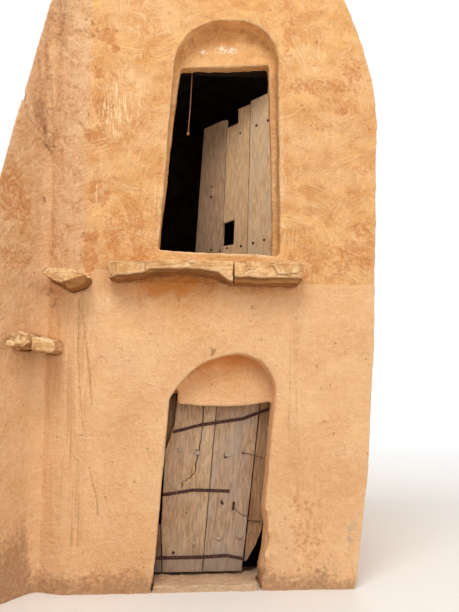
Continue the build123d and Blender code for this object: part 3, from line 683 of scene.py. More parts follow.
def lattice_noise(points: Array) -> Array:
    """Smooth noise with lumps one unit apart, mostly between -1 and 1.

    Args:
        points: One row of x, y and z for each point.

    Returns:
        One value for each point.
    """
    cell = np.floor(points).astype(np.int64)
    inside = points - cell
    fade = inside**3 * (inside * (inside * 6 - 15) + 10)
    total = np.zeros(len(points))
    for corner in itertools.product((0, 1), repeat=3):
        key = (cell + np.array(corner)) @ np.array((374761393, 668265263, 951274213))
        key = (key ^ (key >> 13)) * 1274126177
        key = key ^ (key >> 16)
        slope = np.stack([((key >> shift) & 255) / 127.5 - 1 for shift in (0, 8, 16)], axis=1)
        weight = np.prod(np.where(np.array(corner) == 1, fade, 1 - fade), axis=1)
        total += weight * ((inside - np.array(corner)) * slope).sum(axis=1)
    return total * 1.6


def lumps(points: Array, size: float, seed: float, octaves: int = 1, stretch: Point = (1, 1, 1)) -> Array:
    """Layered noise over points.

    Args:
        points: One row of x, y and z for each point.
        size: How far it is from one lump to the next, in metres.
        seed: Sets this noise off from others.
        octaves: How many layers it has, each half as large and half as strong as the one before.
        stretch: How many times longer the lumps are along each axis.

    Returns:
        One value for each point, mostly between -1 and 1.
    """
    scaled = points / (size * np.array(stretch)) + seed * np.array((1.0, 1.7, 0.3))
    return sum(lattice_noise(scaled * 2**layer + 19.1 * layer) / 2**layer for layer in range(octaves))


def tilted(points: Array, angle: float) -> Array:
    """Turn points about the X axis, so that noise can be stretched along a slant."""
    x, y, z = points.T
    return np.stack((x, math.cos(angle) * y + math.sin(angle) * z, math.cos(angle) * z - math.sin(angle) * y), axis=1)


@dataclass(frozen=True)
class Patch:
    """A patch on the front: its middle, half width and half height in metres, and how strong it is."""

    x: float
    z: float
    half_x: float
    half_z: float
    strength: float = 1.0
    ragged: float = 0.7
    soft: float = 0.7          # width of its fading border, as a share of its half width

    def field(self, x: Array, z: Array, edge: Array) -> Array:
        """Find how far points lie in the patch.

        Args:
            x: Where the points are across the front.
            z: How high they are.
            edge: Noise that makes the border ragged.

        Returns:
            1 inside, 0 outside, and half the strength on the border.
        """
        across = np.abs(x - self.x) / self.half_x
        along = np.abs(z - self.z) / self.half_z
        reach = (across**2.2 + along**2.2) ** (1 / 2.2) + self.ragged * edge
        return self.strength * np.clip(0.5 + (1 - reach) / self.soft, 0, 1)


@dataclass(frozen=True)
class Line:
    """A run of water, a scratch or a crack on the front, with its half width in metres."""

    route: tuple[Spot, ...]
    half: float
    strength: float = 1.0

    def field(self, x: Array, z: Array, edge: Array) -> Array:
        """Find how near points lie to the line.

        Args:
            x: Where the points are across the front.
            z: How high they are.
            edge: Noise that makes the line swell and shrink.

        Returns:
            1 on the line, fading to 0 beside it.
        """
        flat = np.stack((x, z), axis=1)
        nearest = np.full(len(flat), 1e9)
        for start, end in zip(self.route, self.route[1:]):
            a, b = np.array(start), np.array(end)
            t = np.clip(((flat - a) @ (b - a)) / ((b - a) @ (b - a)), 0, 1)
            nearest = np.minimum(nearest, np.linalg.norm(flat - (a + t[:, None] * (b - a)), axis=1))
        return self.strength * np.clip(1 - 0.5 * (nearest * (1 + 0.3 * edge) / self.half) ** 2, 0, 1)


Marks = tuple[Patch | Line, ...]


def strongest(marks: Marks, x: Array, z: Array, edge: Array) -> Array:
    """Lay marks over each other, the strongest on top."""
    return np.maximum.reduce([np.zeros(len(x)), *(mark.field(x, z, edge) for mark in marks)])


def surface(mesh: Mesh) -> tuple[Array, Array]:
    """Read a mesh's surface.

    Args:
        mesh: The mesh.

    Returns:
        One row of x, y and z for each point, and one for the outward direction there.
    """
    rows = np.empty((2, len(mesh.vertices), 3))
    for row, kind in zip(rows, ("co", "normal")):
        mesh.vertices.foreach_get(kind, row.ravel())
    return rows[0], rows[1]


def hollowness(mesh: Mesh, size: float) -> Array:
    """Find where a mesh is hollow and where it sticks out.

    Args:
        mesh: The mesh.
        size: How long its edges are, in metres.

    Returns:
        0.5 for each flat point, more in hollows and less on arrises.
    """
    points, normals = surface(mesh)
    count = len(points)
    ends = np.empty(len(mesh.edges) * 2, dtype=np.int64)
    mesh.edges.foreach_get("vertices", ends)
    ends = np.concatenate((ends.reshape(-1, 2), ends.reshape(-1, 2)[:, ::-1]))
    share = np.maximum(np.bincount(ends[:, 0], minlength=count), 1)
    mean = points
    for _ in range(2):
        mean = np.stack([np.bincount(ends[:, 0], mean[ends[:, 1], axis], count) / share for axis in range(3)], axis=1)
    return np.clip(0.5 + ((mean - points) * normals).sum(axis=1) / size, 0, 1)


def paint(mesh: Mesh, name: str, masks: Sequence[Array]) -> None:
    """Store up to four masks in a colour attribute of a mesh.

    Args:
        mesh: The mesh.
        name: The attribute's name.
        masks: One value for each vertex in each mask.
    """
    values = np.zeros((len(mesh.vertices), 4), dtype=np.float32)
    for column, mask in enumerate(masks):
        values[:, column] = mask
    layer = mesh.color_attributes.new(name=name, type="FLOAT_COLOR", domain="POINT")
    layer.data.foreach_set("color", values.ravel())


@dataclass
class Weathering:
    """How rain, hands and age have shaped and coloured the plaster, with shade and highlights painted into its colour
    in places, as functions of place.
    """

    WEATHER = "weather"        # stain and painted shade, soil and painted shade, bare, pale and painted highlight
    ZONE = "zone"              # old coat, rough corner, wing, washed by runs
    MARKS = "marks"            # drips, cracks, combed, hollow
    ASH = "ash"                # ashy, chips

    front_y: float
    low: Vector
    high: Vector
    coat_line: float = 2.29                 # the newer coat ends here at the right,
    left_rise: float = 0.1                  # this much higher at the left
    side_rise: float = 0.06                 # and on the sides
    coat_step: float = 0.005
    swell: float = 0.011                    # how far the wall bulges
    lump_height: float = 0.0034
    crumb_height: float = 0.0018
    ridge_height: float = 0.0022
    ridge_slant: float = math.radians(34)
    pit_depth: float = 0.006
    bare_depth: float = 0.005
    soil_depth: float = 0.003
    drip_depth: float = 0.001
    fold_depth: float = 0.022
    foot_depth: float = 0.01
    crown_wear: float = 0.012
    back_wear: float = 0.014
    left_edge: Spot = (-0.7, -0.95)         # the coat's line rises between these places
    strip_edge: Spot = (-1.06, -1.08)       # the rough corner strip lies to the left of these
    wing_edge: Spot = (0.015, -0.045)       # and the wing to the left of these, from the valley
    front: Spot = (0.3, 0.2)                # how far behind its face the front ends,
    side: Spot = (0.3, 0.6)                 # the sides begin,
    line_rise: Spot = (0.2, 0.8)            # the coat's line rises,
    niche: Spot = (0.01, 0.04)              # the niches' painted shade begins
    dented: Spot = (0.08, 0.02)             # and the dents end
    back_edge: Spot = (-0.35, -0.15)        # the wear of the back begins here, from its end,
    crown_edge: Spot = (-0.45, -0.1)        # that of the crown here, from its top,
    coat_edge: Spot = (-0.006, 0.006)       # and the old coat here, from the newer coat's line
    facing: Spot = (0.1, 0.5)               # marks begin where the plaster faces forwards this much
    foot_top: Spot = (0.3, 0.02)            # splashes soil the foot between these heights,
    wing_foot_top: Spot = (0.95, 0.1)       # and the wing darkens towards its foot between these
    strip_foot: Spot = (2.25, 2.42)         # the rough corner strip begins here,
    tone_foot: Spot = (1.6, 2.7)            # the wing's full tone here,
    ridge_foot: Spot = (1.5, 2.6)           # its ridges here
    runs_foot: Spot = (0.4, 0.9)            # and the sides' runs of water here
    crease: Spot = (-1.385, -0.125)         # where front and wing meet, along X and Y
    fillet: Spot = (0.07, 0.17)             # how far the plaster rounds that corner, above and below
    fillet_below: Spot = (2.9, 2.1)         # from above to below the rounding grows between these heights
    fillet_turn: float = math.radians(15)
    inward: Point = (0.5, -0.866, 0.0)      # out of that corner, halfway between its two walls
    valley: tuple[Spot, ...] = ((0.0, -1.39), (1.4, -1.457), (2.4, -1.36), (3.7, -1.36), (4.6, -1.25))
    bare_patches: Marks = (
        Patch(-0.935, 4.295, 0.082, 0.075), Patch(-1.002, 3.982, 0.053, 0.062), Patch(-0.956, 3.71, 0.069, 0.1),
        Patch(-0.993, 3.46, 0.08, 0.08), Patch(-0.986, 3.0, 0.1, 0.1), Patch(-1.025, 2.55, 0.072, 0.15),
        Patch(-0.872, 4.35, 0.033, 0.016), Patch(-0.877, 4.205, 0.033, 0.041), Patch(-0.77, 2.72, 0.2, 0.22, 0.6, 0.7),
        Patch(1.055, 4.08, 0.1, 0.13, 0.62, 0.5), Patch(0.817, 3.93, 0.34, 0.065, 0.66, 0.5),
        Patch(0.968, 3.71, 0.078, 0.036, 0.75, 0.5), Patch(1.088, 2.725, 0.055, 0.072, 0.7),
        Patch(0.89, 2.5, 0.285, 0.15, 0.62, 0.6), Patch(0.528, 4.38, 0.056, 0.18, 0.6, 0.5),
        Patch(0.58, 0.585, 0.085, 0.065, 0.62, 0.6, 1.2), Patch(0.65, 0.35, 0.16, 0.33, 0.46, 0.6, 1.2),
    )
    wing_patches: Marks = (Patch(-1.56, 2.9, 0.085, 0.23, 0.75, 0.6), Patch(-1.54, 2.42, 0.08, 0.09, 0.6, 0.6))
    # Creases of the wing: dented, and darkened with the soil colour as painted shade.
    folds: Marks = (
        Patch(-1.335, 4.5, 0.075, 0.3, 0.72, 0.4, 1.2), Patch(-1.425, 3.64, 0.06, 0.22, 0.85, 0.4, 1.3),
        Patch(-1.4, 3.43, 0.03, 0.09, 0.75, 0.4, 1.2), Patch(-1.532, 3.7, 0.014, 0.05, 0.8, 0.4),
        Line(((-1.53, 3.72), (-1.503, 3.545), (-1.44, 3.5), (-1.399, 3.401)), 0.014, 0.62),
        Line(((-1.42, 4.234), (-1.386, 3.813), (-1.375, 3.64), (-1.391, 3.54)), 0.013, 0.6),
        Line(((-1.462, 4.06), (-1.43, 3.8), (-1.415, 3.6)), 0.011, 0.55),
        Line(((-1.364, 3.22), (-1.354, 2.96), (-1.344, 2.49)), 0.012, 0.22),
    )
    # Painted shade at the tops of the two tympana, in the recess under each arch.
    niche_stains: Marks = (
        Patch(-0.02, 1.78, 0.5, 0.17, 0.9, 0.2, 1.6), Patch(-0.02, 1.64, 0.48, 0.26, 0.4, 0.2, 1.6),
        Patch(0.03, 4.64, 0.48, 0.19, 0.75, 0.2, 1.6),
    )
    # Pale plaster, and at x 0.45 a painted highlight along the lit arris of the upper doorway's right jamb.
    pale_patches: Marks = (
        Line(((-0.5, 2.56), (-0.2, 2.535), (0.42, 2.52)), 0.02, 0.9), Patch(-0.12, 4.95, 0.66, 0.22, 0.95, 0.6, 1.0),
        Patch(-0.5, 4.45, 0.225, 0.165, 0.6, 0.5), Patch(-0.68, 4.49, 0.165, 0.12, 0.55, 0.5),
        Patch(-0.72, 4.08, 0.12, 0.3, 0.55, 0.6), Patch(0.69, 4.17, 0.185, 0.145, 0.7, 0.5),
        Patch(0.45, 3.26, 0.045, 0.66, 0.9, 0.3, 1.2), Patch(-0.927, 2.145, 0.11, 0.085, 0.8),
        Patch(0.95, 2.2, 0.3, 0.07, 0.55, 0.5),
    )
    chips: Marks = (
        Patch(-0.006, 4.29, 0.045, 0.03, 1.0, 0.25), Patch(0.074, 4.29, 0.04, 0.026, 1.0, 0.25),
        Patch(-0.157, 4.272, 0.028, 0.022, 1.0, 0.25),
    )
    # An orange stain under the ledge, deepened by painted shade where the ledge's shadow falls.
    stains: Marks = (
        Patch(-0.4, 2.27, 0.44, 0.11, 0.8, 0.3, 1.4), Patch(-0.36, 2.17, 0.48, 0.24, 0.45, 0.3, 1.6),
        Patch(0.25, 2.25, 0.38, 0.08, 0.5, 0.3, 1.4),
    )
    combed: Marks = (
        Patch(-0.83, 3.74, 0.19, 0.25, 1.0, 0.4), Patch(-0.985, 3.08, 0.045, 0.16, 0.7, 0.4),
        Patch(-0.52, 3.0, 0.035, 0.16, 0.7, 0.4),
    )
    ashy: Patch = Patch(0.961, 0.415, 0.058, 0.128, 0.9, 0.9)
    washed: Marks = (
        Patch(-1.18, 1.3, 0.24, 0.88, 0.55, 0.4, 1.6), Line(((-1.21, 2.05), (-1.145, 1.249), (-1.083, 0.386)), 0.055),
        Line(((-1.08, 2.2), (-1.06, 1.3)), 0.04, 0.8), Patch(0.54, 1.4, 0.06, 0.65, 0.7),
    )
    # Soil scoured at the left foot and a dark patch on the wing; painted shade in the hole under the high step and
    # along the lower edge of the lump below it.
    soiled: Marks = (
        Patch(-1.04, 0.075, 0.126, 0.055, 0.6, 0.9), Patch(-1.345, 3.43, 0.05, 0.15, 0.5, 0.5),
        Patch(-1.348, 2.235, 0.03, 0.055, 0.85, 0.9),
        Line(((-1.352, 2.12), (-1.325, 2.104), (-1.296, 2.12), (-1.282, 2.165)), 0.012, 0.8),
    )
    drips: Marks = (
        Line(((-1.079, 2.074), (-1.034, 1.77), (-0.986, 1.359)), 0.01),
        Line(((-1.104, 2.151), (-1.101, 1.77), (-1.076, 1.433), (-1.047, 1.175)), 0.01),
        Line(((-0.988, 0.884), (-0.931, 0.667), (-0.921, 0.56)), 0.01),
        Line(((0.944, 3.549), (1.01, 3.542), (1.084, 3.548)), 0.009, 0.9),
        Line(((0.68, 2.852), (0.725, 2.862), (0.768, 2.852)), 0.009, 0.8),
        Line(((0.523, 1.995), (0.508, 1.4), (0.494, 0.9)), 0.012, 0.65),
        Line(((0.571, 2.01), (0.56, 1.35), (0.541, 0.833)), 0.012, 0.65),
    )
    cracks: Marks = (
        Line(((-1.068, 1.133), (-1.02, 1.128), (-0.972, 1.134)), 0.009, 0.8),
        Line(((-0.725, 0.572), (-0.67, 0.555), (-0.615, 0.549)), 0.009, 0.8),
        Line(((-0.984, 0.605), (-0.984, 0.632), (-0.955, 0.64), (-0.944, 0.617), (-0.96, 0.598)), 0.008, 0.8),
        Line(((-0.092, 1.786), (-0.08, 1.752), (-0.092, 1.722)), 0.011, 1.2),
        Line(((-0.08, 1.752), (-0.062, 1.776)), 0.01, 1.1), Line(((-1.41, 3.56), (-1.407, 3.505)), 0.009, 1.8),
        Line(((-1.399, 3.405), (-1.39, 3.398)), 0.01, 1.8), Line(((-1.385, 3.372), (-1.376, 3.362)), 0.01, 1.8),
        Line(((-1.364, 3.402), (-1.36, 3.396)), 0.009, 1.8), Line(((-1.409, 2.97), (-1.407, 2.94)), 0.008, 1.6),
        Line(((-1.118, 4.44), (-1.112, 4.432)), 0.01, 1.6), Line(((-1.07, 4.42), (-1.062, 4.41)), 0.01, 1.6),
        Line(((-1.056, 4.3), (-1.048, 4.292)), 0.01, 1.6),
    )
    dents: tuple[Mark, ...] = (             # middle, radius and depth, or height if below 0
        (0.319, 0.508, 0.075, 0.02), (0.348, 0.345, 0.08, 0.024), (0.3, 0.17, 0.075, 0.022),
        (-1.35, 2.24, 0.055, 0.04), (-1.325, 2.165, 0.06, -0.026), (-1.098, 4.47, 0.03, 0.012),
        (-1.056, 4.394, 0.026, 0.012), (-1.023, 4.344, 0.022, 0.01), (0.68, 3.936, 0.022, 0.008),
        (0.636, 3.764, 0.02, 0.008), (1.153, 3.652, 0.016, 0.008), (1.084, 3.855, 0.016, 0.008),
        (0.764, 3.564, 0.015, 0.008), (0.616, 3.484, 0.015, 0.008), (1.075, 3.497, 0.016, 0.008),
        (1.19, 3.578, 0.016, 0.008), (-0.896, 1.013, 0.016, 0.007), (-0.663, 0.794, 0.016, 0.007),
        (0.565, 2.025, 0.016, 0.007), (0.673, 1.916, 0.016, 0.007), (-0.08, 1.752, 0.03, 0.01),
    )

    def rounding(self, x: Array, y: Array, below: Array) -> Array:
        """Say how far the plaster fills the corner between front and wing.

        Args:
            x: Each point's x.
            y: Each point's y.
            below: How much of the lower, wider rounding each point has.

        Returns:
            How far each point moves out of the corner, in metres.
        """
        tangent = self.fillet[0] + (self.fillet[1] - self.fillet[0]) * below
        crease = np.hypot(x - self.crease[0], y - self.crease[1])
        return np.maximum(tangent - crease, 0) ** 2 * math.tan(self.fillet_turn) / tangent

    def shape(self, points: Array, normals: Array) -> tuple[dict[str, list[Array]], Array]:
        """Work out the plaster's masks and relief at some points.

        Args:
            points: One row of x, y and z for each point.
            normals: The outward direction at each point.

        Returns:
            The masks of each colour attribute, and how each point moves, in metres.
        """
        x, y, z = points.T
        edge = lumps(points, 0.11, 7.0, 3)
        broad = lumps(points, 0.62, 3.0)
        medium = lumps(points, 0.24, 11.0)
        small = lumps(points, 0.095, 23.0, 2)
        fine = lumps(points, 0.038, 37.0, 2)
        depth = y - self.front_y
        at_front = smooth_range(*self.front, depth)
        facing = smooth_range(*self.facing, -normals[:, 1]) * at_front

        line = self.coat_line + self.left_rise * smooth_range(*self.left_edge, x) + 0.014 * edge
        line = line + self.side_rise * smooth_range(*self.line_rise, depth)
        old = smooth_range(*self.coat_edge, z - line)
        valley_z, valley_x = zip(*self.valley)
        beside = x - np.interp(z, valley_z, valley_x) + 0.02 * edge
        wing = smooth_range(*self.wing_edge, beside)
        strip = smooth_range(*self.strip_edge, x + 0.018 * edge) * smooth_range(*self.strip_foot, z) * (1 - wing)
        marks = {
            name: strongest(group, x, z, edge) * facing for name, group in vars(self).items()
            if isinstance(group, tuple) and isinstance(group[0], Patch | Line)
        }
        ashy = self.ashy.field(x, z, edge) * facing
        side = smooth_range(*self.side, depth)
        side_bare = 0.7 * smooth_range(0.2, 0.5, lumps(points, 0.55, 71.0, 3)) * side
        bare = np.maximum.reduce((marks["bare_patches"], marks["wing_patches"] * wing, side_bare))
        # The ledge's stain with its painted shade, and painted shade inside the niches.
        stain = np.maximum(marks["stains"], marks["niche_stains"] * smooth_range(*self.niche, depth))
        foot = smooth_range(*self.foot_top, z + 0.1 * medium + 0.05 * edge)
        wing_foot = wing * smooth_range(*self.wing_foot_top, z + 0.15 * medium)
        runs = smooth_range(0.25, 0.55, lumps(points, 0.05, 83.0, 2, (1.0, 1.0, 14.0)))
        runs = runs * side * smooth_range(*self.runs_foot, z)
        below = smooth_range(*self.fillet_below, z)
        fillet = self.rounding(x, y, below) * at_front
        wing_tone = smooth_range(0.02 + 0.08 * below, -0.05 - 0.12 * below, beside)
        wing_tone = wing_tone * (0.65 + 0.35 * smooth_range(*self.tone_foot, z))
        folds = marks["folds"]
        # Soil and painted shade together.
        soil = np.maximum.reduce((marks["soiled"], 0.9 * folds, 0.88 * foot, 0.95 * wing_foot, 0.6 * runs))
        scour = self.soiled[0].field(x, z, edge) * facing

        rough = 0.5 + 0.55 * old * (1 - wing) + 1.0 * strip + 1.2 * foot + 0.6 * bare
        pits = smooth_range(0.34, 0.55, lumps(points, 0.05, 51.0)) * np.clip(strip + 0.5 * foot + 0.25 * old, 0, 1)
        slanted = tilted(points, self.ridge_slant)
        ridges = lumps(slanted, 0.03, 41.0, 2, (1.5, 9.0, 1.0)) * wing * at_front
        push = self.swell * broad + 0.5 * self.swell * medium
        push += rough * (self.lump_height * small + self.crumb_height * fine)
        push += self.ridge_height * ridges * smooth_range(*self.ridge_foot, z)
        push -= self.pit_depth * pits + self.bare_depth * bare + self.fold_depth * (scour + folds)
        push -= self.foot_depth * foot * (0.6 + 0.6 * edge) + self.soil_depth * soil
        push += self.coat_step * (0.5 - old) * at_front - self.drip_depth * marks["drips"]
        shallow = np.maximum(smooth_range(*self.dented, depth), np.maximum(wing, strip) * at_front)
        for centre_x, centre_z, radius, dent in self.dents:
            away = ((x - centre_x) ** 2 + (z - centre_z) ** 2) / radius**2
            push -= dent * np.clip(1 - away, 0, 1) * (1 + 0.4 * edge) * shallow
        push -= self.back_wear * smooth_range(*self.back_edge, y - self.high.y)
        push -= self.crown_wear * smooth_range(*self.crown_edge, z - self.high.z)
        masks = {
            self.WEATHER: [stain, np.clip(soil, 0, 1), bare, marks["pale_patches"]],
            self.ZONE: [old * (1 - wing), strip, wing_tone, marks["washed"]],
            self.MARKS: [marks["drips"], marks["cracks"], marks["combed"]],
            self.ASH: [ashy, marks["chips"]],
        }
        return masks, normals * push[:, None] + fillet[:, None] * np.array(self.inward)


def link(obj: Object) -> Object:
    """Put an object in the scene and return it."""
    bpy.context.scene.collection.objects.link(obj)
    return obj


def mesh_of(bm: Shells, name: str) -> Mesh:
    """Turn a bmesh into a mesh and free it.

    Args:
        bm: The bmesh, which is used up.
        name: The mesh's name.

    Returns:
        The mesh.
    """
    mesh = bpy.data.meshes.new(name)
    bm.to_mesh(mesh)
    bm.free()
    return mesh


def bmesh_of(mesh: Mesh) -> Shells:
    """Open a copy of a mesh for editing.

    Args:
        mesh: The mesh, which is kept.

    Returns:
        The copy.
    """
    bm = bmesh.new()
    bm.from_mesh(mesh)
    return bm


def remeshed(bm: Shells, size: float) -> Shells:
    """Fuse closed shells into one even mesh.

    Args:
        bm: The shells, which are used up.
        size: The new mesh's size, in metres.

    Returns:
        The even mesh.
    """
    obj = link(bpy.data.objects.new("work", mesh_of(bm, "work")))
    modifier = obj.modifiers.new("even", "REMESH")
    modifier.mode = "VOXEL"
    modifier.voxel_size = size
    modifier.adaptivity = 0.0
    depsgraph = bpy.context.evaluated_depsgraph_get()
    result = bpy.data.meshes.new_from_object(obj.evaluated_get(depsgraph))
    shells = obj.data
    bpy.data.objects.remove(obj)
    bpy.data.meshes.remove(shells)
    even = bmesh_of(result)
    bpy.data.meshes.remove(result)
    return even


def rounded(bm: Shells, verts: Sequence[bmesh.types.BMVert], passes: int) -> None:
    """Round part of a mesh."""
    for _ in range(passes):
        bmesh.ops.smooth_vert(bm, verts=verts, factor=0.5, use_axis_x=True, use_axis_y=True, use_axis_z=True)


def smoothed(bm: Shells, passes: int = 0) -> None:
    """Round a mesh and shade it smoothly.

    Args:
        bm: The mesh.
        passes: How often it is rounded.
    """
    rounded(bm, bm.verts, passes)
    for face in bm.faces:
        face.smooth = True
    bm.normal_update()


def cut_off(bm: Shells, plane: Plane) -> None:
    """Cut away what lies beyond a plane, and close the cut.

    Args:
        bm: The mesh.
        plane: The plane.
    """
    point, direction = plane
    cut = bmesh.ops.bisect_plane(
        bm, geom=bm.verts[:] + bm.edges[:] + bm.faces[:], plane_co=point, plane_no=direction, clear_outer=True
    )
    rim = [e for e in cut["geom_cut"] if isinstance(e, bmesh.types.BMEdge) and e.is_boundary]
    if not rim:
        return
    filled = bmesh.ops.triangle_fill(bm, use_beauty=True, use_dissolve=False, edges=rim, normal=direction)
    for face in (f for f in filled["geom"] if isinstance(f, bmesh.types.BMFace)):
        face.smooth = False
        for rim_edge in face.edges:
            rim_edge.smooth = False


def sliced(bm: Shells, direction: Vector, width: float) -> None:
    """Cut a mesh's faces into even slices.

    Args:
        bm: The mesh.
        direction: The direction that the slices follow each other in.
        width: How wide each slice is, in metres.
    """
    reach = [v.co.dot(direction) for v in bm.verts]
    place = min(reach) + width
    while place < max(reach) - width / 2:
        bmesh.ops.bisect_plane(
            bm, geom=bm.verts[:] + bm.edges[:] + bm.faces[:], plane_co=direction * place, plane_no=direction
        )
        place += width


def node_copy(names: Iterable[str], planes: Sequence[Plane] = ()) -> Shells:
    """Copy CAD nodes into one mesh, each merged and cut by itself.

    Args:
        names: The nodes' names.
        planes: The planes that they are cut along.

    Returns:
        A mesh of closed shells.
    """
    whole = bmesh.new()
    for name in names:
        part = bmesh_of(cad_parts[name].data)
        bmesh.ops.remove_doubles(part, verts=part.verts, dist=MERGE)
        for plane in planes:
            cut_off(part, plane)
        mesh = mesh_of(part, name)
        whole.from_mesh(mesh)
        bpy.data.meshes.remove(mesh)
    return whole


def piece(
    bm: Shells, name: str, materials: Sequence[Material], body: Body,
    replaced: Sequence[str] = (), marks: Sequence[Array] = (), size: float = 0.0,
) -> None:
    """Turn a finished mesh into a piece of the object.

    Args:
        bm: The mesh, which is used up.
        name: The piece's name.
        materials: Its materials, in the order of the faces' indices.
        body: The body that it rides on.
        replaced: The CAD nodes that it stands for.
        marks: Masks that are painted on it, with its hollows.
        size: How long its edges are where it has marks, in metres.
    """
    triangles = sum(len(f.verts) - 2 for f in bm.faces)
    seams = sum(not e.is_manifold for e in bm.edges)
    mesh = mesh_of(bm, name)
    if marks:
        paint(mesh, Weathering.MARKS, (*marks, hollowness(mesh, size)))
    for material in materials:
        mesh.materials.append(material)
    obj = link(bpy.data.objects.new(name, mesh))
    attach(obj, body.value)
    if replaced:
        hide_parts(*replaced)
    LOG.info("%s: %d triangles, %d open seams, on %s", name, triangles, seams, body.value)


